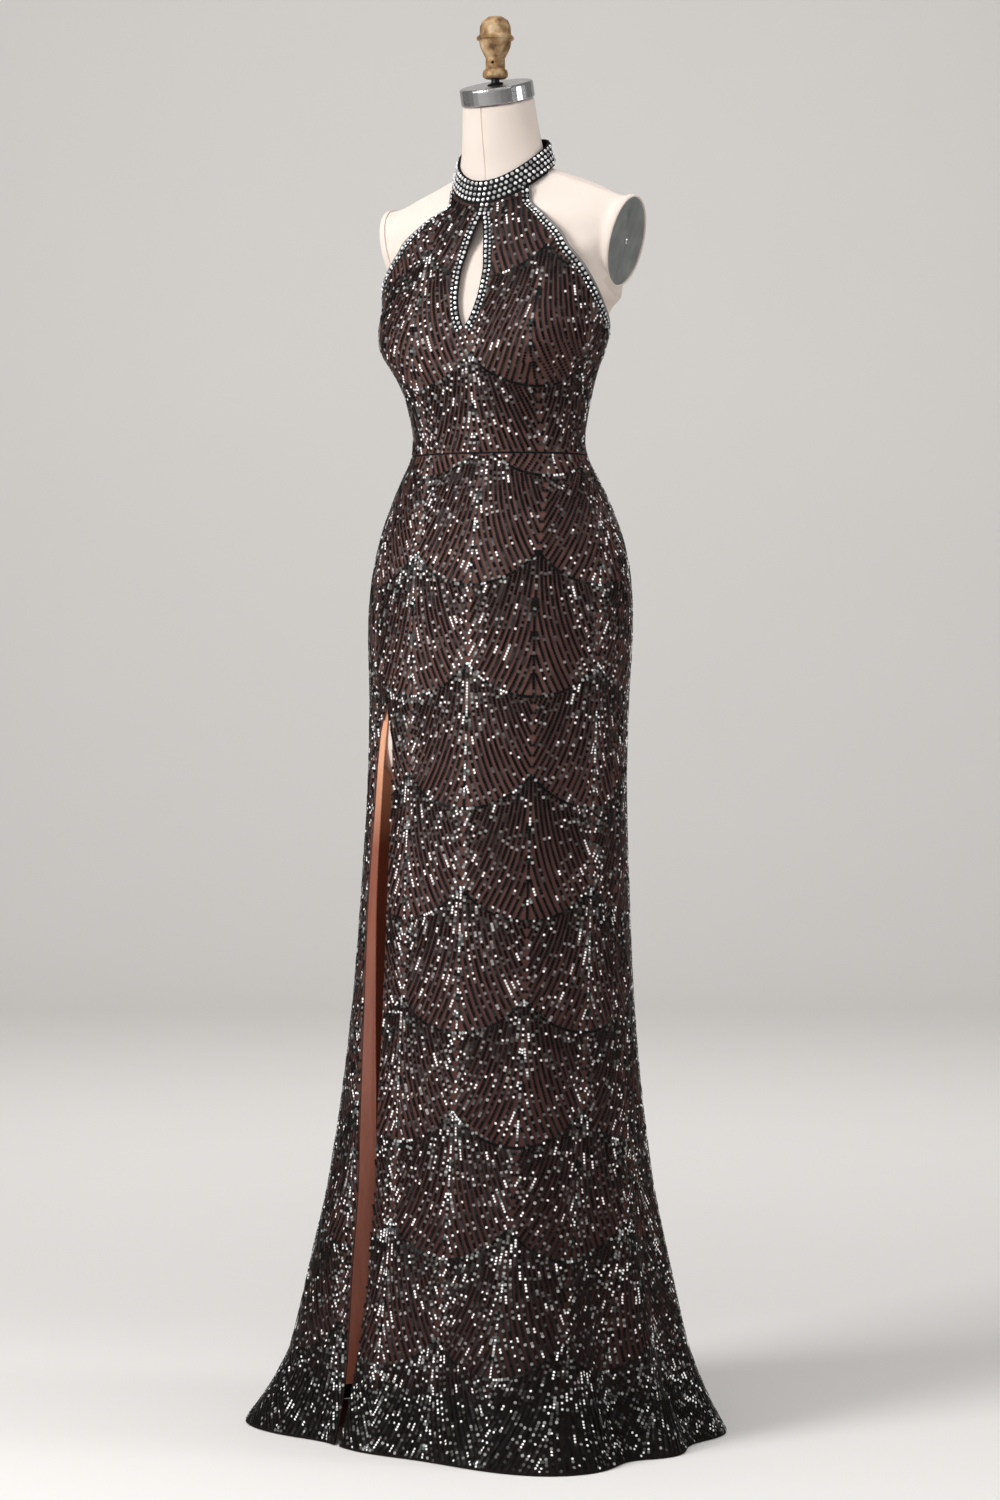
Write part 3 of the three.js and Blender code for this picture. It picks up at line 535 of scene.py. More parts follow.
class Finish:
    """A material with one Principled shader, and one method that adds any other node."""

    def __init__(self, name, **constants):
        self.material = bpy.data.materials.new(name)
        self.material.use_nodes = True
        self.tree = self.material.node_tree
        self.shader = self.tree.nodes["Principled BSDF"]
        for socket, value in constants.items():
            self.shader.inputs[socket.replace("_", " ")].default_value = value

    def add(self, kind, settings, sockets, output=0):
        node = self.tree.nodes.new(kind)
        stops = settings.get("stops")
        for name, value in settings.items():
            if name != "stops":
                setattr(node, name, value)
        if stops:
            ramp = node.color_ramp
            for position, colour in stops[2:]:
                ramp.elements.new(position)
            for element, (position, colour) in zip(ramp.elements, sorted(stops)):
                element.position = position
                element.color = (*colour, 1)
        for key, value in sockets.items():
            self.link(value, node.inputs[key])
        return Value(self, node.outputs[output])

    def link(self, value, socket):
        if isinstance(value, Value):
            self.tree.links.new(value.socket, socket)
        elif isinstance(value, tuple) and len(value) == 3 and socket.type == "RGBA":
            socket.default_value = (*value, 1)
        else:
            socket.default_value = value

    def feed(self, name, value):
        self.link(value, self.shader.inputs[name])

    def position(self):
        return self.add("ShaderNodeTexCoord", {}, {}, "Object")

    def attribute(self, name):
        return self.add("ShaderNodeAttribute", {"attribute_name": name}, {}, "Fac")

    def noise(self, scale, vector=None, detail=2.0, output=0):
        sockets = {"Scale": scale, "Detail": detail}
        if vector:
            sockets["Vector"] = vector
        return self.add("ShaderNodeTexNoise", {}, sockets, output)

    def stretched(self, scale):
        return self.add("ShaderNodeMapping", {}, {"Vector": self.position(), "Scale": scale})

    def wave(self, scale, vector, direction="X", distortion=0.0):
        settings = {"wave_type": "BANDS", "bands_direction": direction}
        sockets = {"Vector": vector, "Scale": scale, "Distortion": distortion}
        return self.add("ShaderNodeTexWave", settings, sockets, "Fac")

    def mix(self, factor, first, second):
        node = self.tree.nodes.new("ShaderNodeMix")
        node.data_type = "RGBA"
        self.link(factor, node.inputs["Factor"])
        self.link(first, node.inputs[6])
        self.link(second, node.inputs[7])
        return Value(self, node.outputs[2])

    def ramp(self, value, stops):
        return self.add("ShaderNodeValToRGB", {"stops": stops}, {"Fac": value})

    def bump(self, height, distance, strength=1.0):
        sockets = {"Height": height, "Distance": distance, "Strength": strength}
        self.feed("Normal", self.add("ShaderNodeBump", {}, sockets))


def from_srgb(*channels):
    return tuple((c / 255 / 12.92) if c < 11 else ((c / 255 + 0.055) / 1.055) ** 2.4 for c in channels)


def gown_mesh_finish():
    """Fine net: mauve brown where the lining backs it, nearly black where it hangs free. Where backed, it is
    painted lighter higher up and darker towards the hem: painted shade.
    """
    finish = Finish("gown_net", Roughness=0.8, Specular_IOR_Level=0.06)
    lined = finish.attribute("lined")
    mottle = finish.noise(38, finish.position(), 3.0)
    height = finish.add("ShaderNodeSeparateXYZ", {}, {"Vector": finish.position()}, "Z")
    # Painted shade: the backed net's colour is darker low down and lighter high up
    painted_light_height = ((height - 0.3) * 1.6).clamped()
    low = finish.mix(mottle, from_srgb(60, 38, 34), from_srgb(80, 54, 49))
    high = finish.mix(mottle, from_srgb(80, 56, 51), from_srgb(104, 76, 70))
    backed = finish.mix(painted_light_height, low, high)
    free = finish.mix(mottle, from_srgb(22, 18, 17), from_srgb(33, 27, 25))
    colour = finish.mix(lined, free, backed)
    finish.feed("Base Color", colour)
    across = finish.wave(420, finish.position(), "DIAGONAL")
    finish.bump(across, 0.0003, 0.4)
    return finish.material


def lining_finish():
    finish = Finish("lining_satin", Specular_IOR_Level=0.3, Emission_Strength=1.0)
    streak = finish.noise(9, finish.stretched((14, 14, 1.2)), 2.0)
    height = finish.add("ShaderNodeSeparateXYZ", {}, {"Vector": finish.position()}, "Z")
    # Painted light: the satin is lighter higher up, with painted shade lower down
    painted_light_height = ((height - 0.25) * 1.8).clamped()
    low = finish.mix(streak, from_srgb(84, 45, 34), from_srgb(110, 62, 47))
    high = finish.mix(streak, from_srgb(118, 66, 50), from_srgb(148, 90, 70))
    # Painted highlight: palest near the slit's top
    top = ((height - 0.7) * 9).clamped()
    painted_lit_top = finish.mix(streak, from_srgb(186, 130, 100), from_srgb(216, 164, 132))
    finish.feed("Base Color", finish.mix(top, finish.mix(painted_light_height, low, high), painted_lit_top))
    # Painted glow: the satin's inside glows faintly, though no lamp lights it
    painted_glow = finish.mix(painted_light_height, (0.012, 0.003, 0.0016), (0.03, 0.008, 0.0045))
    finish.feed("Emission Color", finish.mix(top, painted_glow, (0.12, 0.055, 0.032)))
    finish.feed("Roughness", 0.36 + streak * 0.16)
    finish.bump(finish.noise(60, finish.stretched((3, 3, 1))), 0.001, 0.4)
    return finish.material


def binding_finish():
    finish = Finish("binding_tape", Roughness=0.7)
    weave = finish.wave(900, finish.position(), "Z")
    finish.feed("Base Color", finish.mix(weave, from_srgb(92, 90, 88), from_srgb(134, 131, 128)))
    finish.bump(weave, 0.0002, 0.5)
    return finish.material


def dark_edge_finish():
    finish = Finish("turned_edge", Roughness=0.75, Specular_IOR_Level=0.15)
    grain = finish.noise(700, finish.position())
    finish.feed("Base Color", finish.mix(grain, from_srgb(8, 8, 8), from_srgb(18, 17, 17)))
    finish.bump(grain, 0.0003, 0.5)
    return finish.material


LIT = 0.76


def sequin_finish():
    """Black foil discs. Those whose glint is high get a painted white highlight and a faint painted glow, and
    the grey ones a painted sheen.
    """
    finish = Finish("black_sequins", IOR=1.5, Specular_IOR_Level=0.08, Emission_Strength=1.0)
    glint = finish.attribute("glint")
    # Ramp: random dark tones, then a painted grey sheen, then a painted white highlight
    stops = [
        (0.0, (0.002, 0.002, 0.002)),
        (0.48, (0.007, 0.007, 0.007)),
        (0.52, (0.022, 0.022, 0.021)),
        (0.66, (0.1, 0.1, 0.097)),
        (0.74, (0.34, 0.34, 0.335)),
        (0.78, (0.62, 0.62, 0.61)),
        (1.0, (0.92, 0.92, 0.91)),
    ]
    finish.feed("Base Color", finish.ramp(glint, stops))
    lit = glint.above(LIT)
    # Painted glow on the sequins that carry a painted highlight
    finish.feed("Emission Color", finish.mix(lit, (0.0, 0.0, 0.0), (0.12, 0.12, 0.12)))
    finish.feed("Roughness", 0.4 - lit * 0.15)
    return finish.material


def rhinestone_finish():
    finish = Finish("rhinestones", IOR=1.6)
    glint = finish.attribute("glint")
    # Painted glints: each stone's colour goes from dark grey to near white by its glint
    finish.feed("Base Color", finish.mix(glint, (0.3, 0.3, 0.31), (0.97, 0.97, 0.98)))
    finish.feed("Metallic", 0.5 - glint * 0.3)
    finish.feed("Roughness", 0.1 + glint * 0.1)
    return finish.material


def linen_finish():
    finish = Finish("form_linen", Roughness=0.9, Specular_IOR_Level=0.2)
    fine = finish.noise(1400, finish.position(), 1.0)
    cloud = finish.noise(7, finish.position(), 3.0)
    colour = finish.mix(cloud, from_srgb(219, 205, 195), from_srgb(227, 215, 207))
    finish.feed("Base Color", finish.mix(fine * 0.15, colour, from_srgb(200, 183, 164)))
    warp = finish.wave(1500, finish.position(), "Z")
    weft = finish.wave(1500, finish.position(), "X")
    finish.bump(warp + weft + fine, 0.00025, 0.35)
    return finish.material


def linen_seam_finish():
    finish = Finish("linen_seam", Roughness=0.9, Specular_IOR_Level=0.1)
    thread = finish.noise(900, finish.position(), 1.0)
    finish.feed("Base Color", finish.mix(thread, from_srgb(204, 189, 178), from_srgb(216, 202, 192)))
    return finish.material


def brushed_finish(name, light, dark, stretch, roughness):
    finish = Finish(name, Metallic=1.0)
    lines = finish.noise(60, finish.stretched(stretch), 3.0)
    spots = finish.noise(45, finish.position(), 3.0)
    finish.feed("Base Color", finish.mix(spots * 0.6 + lines * 0.4, dark, light))
    finish.feed("Roughness", roughness + lines * 0.18)
    finish.bump(lines, 0.0002, 0.3)
    return finish.material


def aged_gold_finish():
    finish = Finish("finial_aged_gold", Metallic=0.3, Specular_IOR_Level=0.3)
    wear = finish.noise(90, finish.position(), 4.0)
    pits = finish.noise(420, finish.position(), 2.0)
    stops = [
        (0.3, from_srgb(90, 68, 44)),
        (0.46, from_srgb(146, 114, 78)),
        (0.6, from_srgb(176, 151, 116)),
        (0.8, from_srgb(206, 192, 164)),
    ]
    finish.feed("Base Color", finish.ramp(wear, stops))
    finish.feed("Roughness", 0.55 + pits * 0.25)
    finish.bump(wear * 0.6 + pits * 0.4, 0.0006, 0.6)
    return finish.material


def dark_metal_finish():
    finish = Finish("dark_metal", Metallic=0.9)
    grain = finish.noise(300, finish.position(), 3.0)
    finish.feed("Base Color", finish.mix(grain, from_srgb(24, 25, 27), from_srgb(48, 49, 52)))
    finish.feed("Roughness", 0.3 + grain * 0.2)
    finish.bump(grain, 0.0002, 0.3)
    return finish.material


NET = gown_mesh_finish()
LINING = lining_finish()
BINDING = binding_finish()
DARK_EDGE = dark_edge_finish()
SEQUIN = sequin_finish()
RHINESTONE = rhinestone_finish()
LINEN = linen_finish()
SEAM_THREAD = linen_seam_finish()
CAP_METAL = brushed_finish("cap_metal", (0.66, 0.66, 0.67), (0.5, 0.5, 0.51), (1, 1, 9), 0.14)
PLATE_METAL = brushed_finish("plate_metal", (0.50, 0.52, 0.51), (0.2, 0.215, 0.215), (1, 2, 1), 0.34)
AGED_GOLD = aged_gold_finish()
DARK_METAL = dark_metal_finish()


def dress(node, material):
    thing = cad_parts[node]
    thing.data.materials.clear()
    thing.data.materials.append(material)


for node, material in (
    ("neck_cap", CAP_METAL),
    ("arm_plate_left", PLATE_METAL),
    ("arm_plate_right", PLATE_METAL),
    ("arm_screw_left", CAP_METAL),
    ("arm_screw_right", CAP_METAL),
    ("finial_stem", DARK_METAL),
    ("finial", AGED_GOLD),
    ("stand_foot", DARK_METAL),
    ("stand_pole", DARK_METAL),
    ("zip_slider", DARK_METAL),
    ("zip_tab", DARK_METAL),
):
    dress(node, material)

# The skirt


def seam(z):
    return np.degrees(SEAM_GAP / 2 / gown_section(z)["side"])


slit_side_edge = curve_of(SLIT, "side")
slit_main_edge = curve_of(SLIT, "main")


def slit_side(z):
    return -slit_side_edge(z)


def slit_main(z):
    return -slit_main_edge(z)


def lined_share(angle, z):
    """1 where the lining is close behind the net, 0 where the net hangs free."""
    gap = np.linalg.norm(gown_point(angle, z)[..., :2], axis=-1)
    gap = gap - np.linalg.norm(lining_point(angle, z)[..., :2], axis=-1)
    near = np.clip(1.1 - gap / 90, 0, 1) * np.clip((z - 40) / 70, 0.1, 1)
    above_hem = np.clip((z - LINING_HEM_Z) / 10, 0, 1)
    return near * above_hem


def grid_between(columns, low, high, heights):
    share = np.linspace(0, 1, columns + 1)[None, :]
    z = np.asarray(heights, float)[:, None]
    start = low(z)
    angles = start + share * (high(z) - start)
    return angles, np.broadcast_to(z, angles.shape)


skirt_heights = np.concatenate(
    [
        np.linspace(HEM_Z, 300, 36, endpoint=False),
        np.linspace(300, SLIT_TOP_Z, 40, endpoint=False),
        np.linspace(SLIT_TOP_Z, WAIST_Z - SEAM_GAP, 32),
    ]
)
SKIRT_PANELS = {
    "skirt_front": [
        (26, lambda z: -90 + seam(z), slit_side),
        (66, slit_main, lambda z: 90 - seam(z)),
    ],
    "skirt_back_left": [(54, lambda z: 90 + seam(z), lambda z: 180 - seam(z))],
    "skirt_back_right": [(54, lambda z: 180 + seam(z), lambda z: 270 - seam(z))],
}
for name, parts in SKIRT_PANELS.items():
    grids = [grid_between(columns, low, high, skirt_heights) for columns, low, high in parts]
    strips = [strip(gown_point, 1.2, angles, heights) for angles, heights in grids]
    values = [lined_share(angles, heights) for angles, heights in grids]
    piece = new_piece(name + "_net", cloth_wall(name + "_net", strips, values), NET)
    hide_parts(name)

# The lining skirt


def within_slit(z, width):
    section = lining_section(z)
    opening = slit_side_edge(z) - slit_main_edge(z)
    return np.minimum(np.degrees(2 * width / (section["side"] + section["front"])), opening * 0.4)


def lining_side(z):
    return slit_side(z) + within_slit(z, LINING_FACING)


def lining_main(z):
    return slit_main(z) + within_slit(z, LINING_RECESS)


lining_heights = np.concatenate([[LINING_HEM_Z], skirt_heights[skirt_heights > LINING_HEM_Z + 4]])
LINING_PANELS = {
    "lining_front": [
        (20, lambda z: -90 + seam(z), lining_side),
        (44, lining_main, lambda z: 90 - seam(z)),
    ],
    "lining_back": [(72, lambda z: 90 + seam(z), lambda z: 270 - seam(z))],
}


def facing_strip(heights, columns=5):
    """The lining's turned edge, from its own edge out to the back of the net's edge."""
    z = np.asarray(heights, float)[:, None]
    share = np.linspace(0, 1, columns + 1)[None, :, None]
    start, start_inside = strip(lining_point, 0.8, lining_side(z), z)
    end_angle = slit_side(z) - np.degrees(0.6 / gown_section(z)["side"])
    end = strip(gown_point, 0.8, end_angle, z, -1.4)[0]
    outside = start + (end - start) * share
    sideways = unit(np.cross(end - start, [0.0, 0.0, 1.0]))
    inside = outside - sideways * 0.8
    inside[:, :1] = start_inside
    return outside, inside


for name, parts in LINING_PANELS.items():
    grids = [grid_between(columns, low, high, lining_heights) for columns, low, high in parts]
    strips = [strip(lining_point, 0.8, angles, heights) for angles, heights in grids]
    if name == "lining_front":
        strips.append(facing_strip(lining_heights[lining_heights < SLIT_TOP_Z - 6]))
    piece = new_piece(name + "_satin", cloth_wall(name + "_satin", strips), LINING)
    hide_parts(name)

# The bodice

armhole_edge = curve_of(ARMHOLE_EDGE, "angle")
back_edge = curve_of(BACK_EDGE, "angle")
keyhole_half = curve_of(KEYHOLE, "half")
BODICE_LOW_Z = WAIST_Z + SEAM_GAP / 2


def front_edge(z):
    seam_angle = SIDE_SEAM - seam(z)
    return np.where(z < SIDE_SEAM_TOP_Z, seam_angle, np.minimum(seam_angle, armhole_edge(z)))


def keyhole_angle(z, sign):
    half = np.where(z < KEYHOLE[-1]["z"], keyhole_half(np.minimum(z, KEYHOLE[-1]["z"])), 0)
    return np.degrees(np.arcsin((KEYHOLE_X + sign * half) / gown_section(z)["side"]))


def bodice_angle(share, z, sign):
    inner = keyhole_angle(z, sign)
    return inner + share * (sign * front_edge(z) - inner)


def bodice_top_z(share, sign):
    z = np.full_like(share, COLLAR_FRONT_Z)
    for step in range(12):
        z = collar_low_z(gown_point(bodice_angle(share, z, sign), z)[..., 1]) - SEAM_GAP
    return z


def bodice_half(sign, columns=44, rows=84):
    share = np.linspace(0, 1, columns + 1)[None, :]
    if sign < 0:
        share = share[:, ::-1]
    up = np.linspace(0, 1, rows + 1)[:, None]
    z = BODICE_LOW_Z + up * (bodice_top_z(share, sign) - BODICE_LOW_Z)
    return bodice_angle(share, z, sign), z


bodice_grids = [bodice_half(-1), bodice_half(1)]
bodice_strips = [strip(gown_point, 1.4, angles, heights) for angles, heights in bodice_grids]
lined_bodice = [np.clip(1 - (heights - 1370) / 160, 0.4, 1) for angles, heights in bodice_grids]
bodice = new_piece(
    "bodice_front_net",
    cloth_wall("bodice_front_net", bodice_strips, lined_bodice),
    NET,
)
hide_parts("bodice_front")

corner_rows = [
    {"z": -row["angle"], "top": row["z"]} for row in ARMHOLE_EDGE if row["z"] <= 1353
]
side_top_z = curve_of(corner_rows, "top")
CORNER = ARMHOLE_EDGE[0]
for name, sign in (("bodice_side_left", 1), ("bodice_side_right", -1)):
    share = np.linspace(0, 1, 13)[None, :]
    if sign < 0:
        share = share[:, ::-1]
    up = np.linspace(0, 1, 49)[:, None]
    start = SIDE_SEAM + seam(WAIST_Z)
    top = side_top_z(-(start + share * (CORNER["angle"] - start)))
    heights = BODICE_LOW_Z + up * (top - BODICE_LOW_Z)
    angles = sign * (start + share * (back_edge(heights) - start))
    mesh = cloth_wall(name + "_net", [strip(gown_point, 1.4, angles, heights)], [np.ones_like(angles)])
    piece = new_piece(name + "_net", mesh, NET)
    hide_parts(name)

# The neckband

band_share = np.linspace(-1, 1, 161)[None, :]
band_end = 180 - math.degrees(0.25 / COLLAR["side"])
band_up = np.linspace(0, COLLAR_HEIGHT, 9)[:, None]
band_angles = band_end * band_share + 0 * band_up
band_heights = band_up + 0 * band_share
band_mesh = cloth_wall("neckband", [strip(collar_point, 2.2, band_angles, band_heights)])
neckband = new_piece("neckband", band_mesh, DARK_EDGE)
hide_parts("collar_band")

# Edges of the bodice, as paths with the direction into the cloth and the normal


def edge_path(angles, heights, inward_sign):
    path = gown_point(angles, heights)
    normal = normal_of(gown_point, angles, heights)
    along = unit(np.gradient(path, axis=0))
    inward = unit(np.cross(normal, along)) * inward_sign
    return path, inward, normal


def evenly_spaced(arrays, pitch, offset=0.0):
    """Samples a path and what goes with it at an even pitch along it."""
    path = arrays[0]
    length = np.concatenate([[0], np.cumsum(np.linalg.norm(np.diff(path, axis=0), axis=1))])
    at = np.arange(offset, length[-1], pitch)
    return [np.stack([np.interp(at, length, a[:, k]) for k in range(3)], axis=1) for a in arrays]


def armhole_path(sign, low=CORNER["z"]):
    z = np.linspace(low, 1500, 400)
    path, inward, normal = edge_path(sign * armhole_edge(z), z, 1)
    keep = path[:, 2] < collar_low_z(path[:, 1]) - 1
    middle = gown_point(np.zeros_like(z), z)
    if np.sum((inward * (middle - path))[keep]) < 0:
        inward = -inward
    return path[keep], inward[keep], normal[keep]


def back_edge_path(sign):
    z = np.linspace(BODICE_LOW_Z, CORNER["z"], 120)
    path, inward, normal = edge_path(sign * back_edge(z), z, 1)
    front = gown_point(np.full_like(z, sign * 60), z)
    if np.sum(inward * (front - path)) < 0:
        inward = -inward
    return path, inward, normal


def keyhole_path(sign, top=KEYHOLE[-1]["z"] - 0.2):
    z = np.linspace(KEYHOLE[0]["z"] + 0.2, top, 300)
    path, inward, normal = edge_path(keyhole_angle(z, sign), z, 1)
    if np.sum(inward[:, 0]) * sign < 0:
        inward = -inward
    return path, inward, normal


BACKING = [(0.6, 0.0), (0.7, 0.6), (6.0, 0.75), (11.4, 0.6), (11.6, 0.0)]
TAPE = [(-0.7, 0.0), (-0.9, 0.5), (-0.6, 1.0), (0.4, 1.3), (1.6, 1.2), (2.3, 0.7), (2.3, 0.1)]
for side, sign in (("left", 1), ("right", -1)):
    path, inward, normal = armhole_path(sign)
    mesh = swept("armhole_tape_" + side, path, inward, normal, TAPE)
    tape = new_piece("armhole_tape_" + side, mesh, BINDING)
    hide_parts("binding_" + side)
    name = "armhole_backing_" + side
    new_piece(name, swept(name, path, inward, normal, BACKING), DARK_EDGE)
    path, inward, normal = back_edge_path(sign)
    wide = [(dx * 1.6, dz) for dx, dz in TAPE]
    new_piece("back_tape_" + side, swept("back_tape_" + side, path, inward, normal, wide), BINDING)
    path, inward, normal = keyhole_path(sign)
    narrow = [(dx * 0.6, dz * 0.8) for dx, dz in TAPE]
    name = "keyhole_edge_" + side
    new_piece(name, swept(name, path, inward, normal, narrow), DARK_EDGE)
    path, inward, normal = keyhole_path(sign, COLLAR_FRONT_Z - 3)
    name = "keyhole_backing_" + side
    low = [(dx * 0.9, dz * 0.8) for dx, dz in BACKING]
    new_piece(name, swept(name, path, inward, normal, low), DARK_EDGE)

waist_angles = np.linspace(-BACK_EDGE[0]["angle"], BACK_EDGE[0]["angle"], 260)
waist_z = np.full_like(waist_angles, WAIST_Z)
waist_normal = normal_of(gown_point, waist_angles, waist_z)
waist_up = np.tile([0.0, 0.0, 1.0], (len(waist_angles), 1))
SEAM_LINE = [(-1.3, 0.1), (-1.0, 0.6), (0.0, 0.4), (1.0, 0.6), (1.3, 0.1)]
waist_mesh = swept("waist_seam", gown_point(waist_angles, waist_z), waist_up, waist_normal, SEAM_LINE)
new_piece("waist_seam", waist_mesh, DARK_EDGE)
neck_angles = np.linspace(-80, 80, 160)
neck_low = collar_point(neck_angles, np.zeros_like(neck_angles))
neck_up = unit(collar_point(neck_angles, np.full_like(neck_angles, 5.0)) - neck_low)
neck_normal = normal_of(collar_point, neck_angles, np.full_like(neck_angles, 1.0))
neck_mesh = swept("neck_seam", neck_low - neck_up * 0.6, neck_up, neck_normal, SEAM_LINE)
new_piece("neck_seam", neck_mesh, DARK_EDGE)

# Geometry Nodes: one tree lays sequins, another lays rhinestones, on points with a facing


def group_socket(tree, name, kind, value=None):
    socket = tree.interface.new_socket(name=name, in_out="INPUT", socket_type=kind)
    if value is not None:
        socket.default_value = value
    return socket.identifier


def laying_tree(name, make_shape, sizes):
    """Lays one shape on each point, turned to its facing, tilted alike within each short run."""
    tree = bpy.data.node_groups.new(name, "GeometryNodeTree")
    inputs = {"Geometry": group_socket(tree, "Geometry", "NodeSocketGeometry")}
    for size, value in sizes.items():
        inputs[size] = group_socket(tree, size, "NodeSocketFloat", value)
    inputs["Seed"] = group_socket(tree, "Seed", "NodeSocketInt", 1)
    inputs["Finish"] = group_socket(tree, "Finish", "NodeSocketMaterial")
    tree.interface.new_socket(name="Geometry", in_out="OUTPUT", socket_type="NodeSocketGeometry")

    def add(kind, settings=None, **links):
        node = tree.nodes.new(kind)
        for key, value in (settings or {}).items():
            setattr(node, key, value)
        for key, value in links.items():
            target = node.inputs[int(key[1:])] if key[1:].isdigit() else node.inputs[key.replace("_", " ")]
            if isinstance(value, bpy.types.NodeSocket):
                tree.links.new(value, target)
            else:
                target.default_value = value
        return node

    given = tree.nodes.new("NodeGroupInput").outputs
    shape = make_shape(add, given)
    points = add("GeometryNodeMeshToPoints", Mesh=given["Geometry"]).outputs[0]
    named = {"data_type": "FLOAT_VECTOR"}
    facing = add("GeometryNodeInputNamedAttribute", named, Name="facing").outputs["Attribute"]
    run = add("GeometryNodeInputNamedAttribute", {"data_type": "INT"}, Name="run").outputs["Attribute"]
    shake = add("FunctionNodeRandomValue", named, ID=run, Seed=given["Seed"])
    shake.inputs[0].default_value = (-1, -1, -1)
    shake.inputs[1].default_value = (1, 1, 1)
    lean = add("ShaderNodeVectorMath", {"operation": "SCALE"}, _0=shake.outputs[0], Scale=given["Tilt"])
    aim = add("ShaderNodeVectorMath", {"operation": "ADD"}, _0=facing, _1=lean.outputs[0])
    upright = add("FunctionNodeAlignRotationToVector", {"axis": "Z"}, Vector=aim.outputs[0])
    along = add("GeometryNodeInputNamedAttribute", named, Name="along").outputs["Attribute"]
    about = {"axis": "X", "pivot_axis": "Z"}
    turned = add("FunctionNodeAlignRotationToVector", about, Rotation=upright.outputs[0], Vector=along)
    size = add("GeometryNodeInputNamedAttribute", {"data_type": "FLOAT"}, Name="size").outputs["Attribute"]
    laid = add(
        "GeometryNodeInstanceOnPoints",
        Points=points,
        Instance=shape,
        Rotation=turned.outputs[0],
        Scale=size,
    ).outputs[0]
    real = add("GeometryNodeRealizeInstances", Geometry=laid).outputs[0]
    done = add("GeometryNodeSetMaterial", Geometry=real, Material=given["Finish"]).outputs[0]
    tree.links.new(done, tree.nodes.new("NodeGroupOutput").inputs[0])
    return tree, inputs


def sequin_shape(add, given):
    disc = add("GeometryNodeMeshCircle", {"fill_type": "NGON"}, Vertices=6, Radius=given["Radius"])
    return disc.outputs[0]


def stone_shape(add, given):
    table_width = add("ShaderNodeMath", {"operation": "MULTIPLY"}, _0=given["Radius"], _1=0.55)
    stone = add(
        "GeometryNodeMeshCone",
        {"fill_type": "NGON"},
        Vertices=8,
        Radius_Top=table_width.outputs[0],
        Radius_Bottom=given["Radius"],
        Depth=given["Rise"],
    )
    return stone.outputs[0]


LIT_SIZE = 0.74
SEQUIN_TREE = laying_tree("lay_sequins", sequin_shape, {"Radius": 0.0019, "Tilt": 0.2})
STONE_TREE = laying_tree("lay_stones", stone_shape, {"Radius": 0.0026, "Rise": 0.0016, "Tilt": 0.05})


def laid_piece(name, tree_and_inputs, points_mm, facing, along, run, glint, finish, slot, **sizes):
    """A plain mesh with one shape on every point."""
    tree, inputs = tree_and_inputs
    mesh = bpy.data.meshes.new(name + "_points")
    mesh.from_pydata([tuple(p) for p in points_mm * MM], [], [])
    for direction, vectors in (("facing", facing), ("along", along)):
        attribute = mesh.attributes.new(direction, "FLOAT_VECTOR", "POINT")
        attribute.data.foreach_set("vector", np.ascontiguousarray(vectors, float).ravel())
    attribute = mesh.attributes.new("run", "INT", "POINT")
    attribute.data.foreach_set("value", np.asarray(run, int))
    add_value(mesh, "glint", glint)
    add_value(mesh, "size", np.where((glint > LIT) & (finish == SEQUIN), LIT_SIZE, 1.0))
    holder = bpy.data.objects.new(name + "_points", mesh)
    bpy.context.collection.objects.link(holder)
    modifier = holder.modifiers.new("lay", "NODES")
    modifier.node_group = tree
    for size, value in sizes.items():
        modifier[inputs[size]] = value
    modifier[inputs["Finish"]] = finish
    evaluated = holder.evaluated_get(bpy.context.evaluated_depsgraph_get())
    laid = bpy.data.meshes.new_from_object(evaluated)
    laid.name = name
    holder.modifiers.remove(modifier)
    bpy.data.objects.remove(holder)
    return new_piece(name, laid, None)


# The sequin pattern: overlapping scallops, each filled with a fan of curving lines.
# u runs round the body from a column's middle, and v runs down from the cleft at a scallop's top.

COLUMN = 79.5
HALF_ROW = 131.5
SAGITTA = 40.0
ARC_RADIUS = (COLUMN**2 + SAGITTA**2) / (2 * SAGITTA)
SCALLOP_HEIGHT = HALF_ROW + SAGITTA
LINE_STEP = 4.1
SEQUIN_PITCH = 3.45
# Share of sequins given a painted highlight: more near a column's middle, fewer where the body turns from the
# light (turned, at, over) and at the body's left silhouette (edge), as painted shade
LIT_SHARE = {"field": 0.1, "column": 0.26, "spread": 7.5, "turned": 0.9, "at": 43, "over": 12, "edge": 0.8, "edge_at": -70, "edge_over": 17}


def arc_drop(u):
    return ARC_RADIUS - np.sqrt(np.maximum(ARC_RADIUS**2 - u**2, 0))


def sampled(u, v, pitch):
    """A line sampled at an even pitch, with its direction at each sample: (u, v, du, dv)."""
    length = np.concatenate([[0], np.cumsum(np.hypot(np.diff(u), np.diff(v)))])
    if length[-1] < pitch:
        return np.empty((0, 4))
    at = np.arange(0.5 * (length[-1] % pitch), length[-1], pitch)
    values = (u, v, np.gradient(u), np.gradient(v))
    return np.stack([np.interp(at, length, value) for value in values], axis=1)


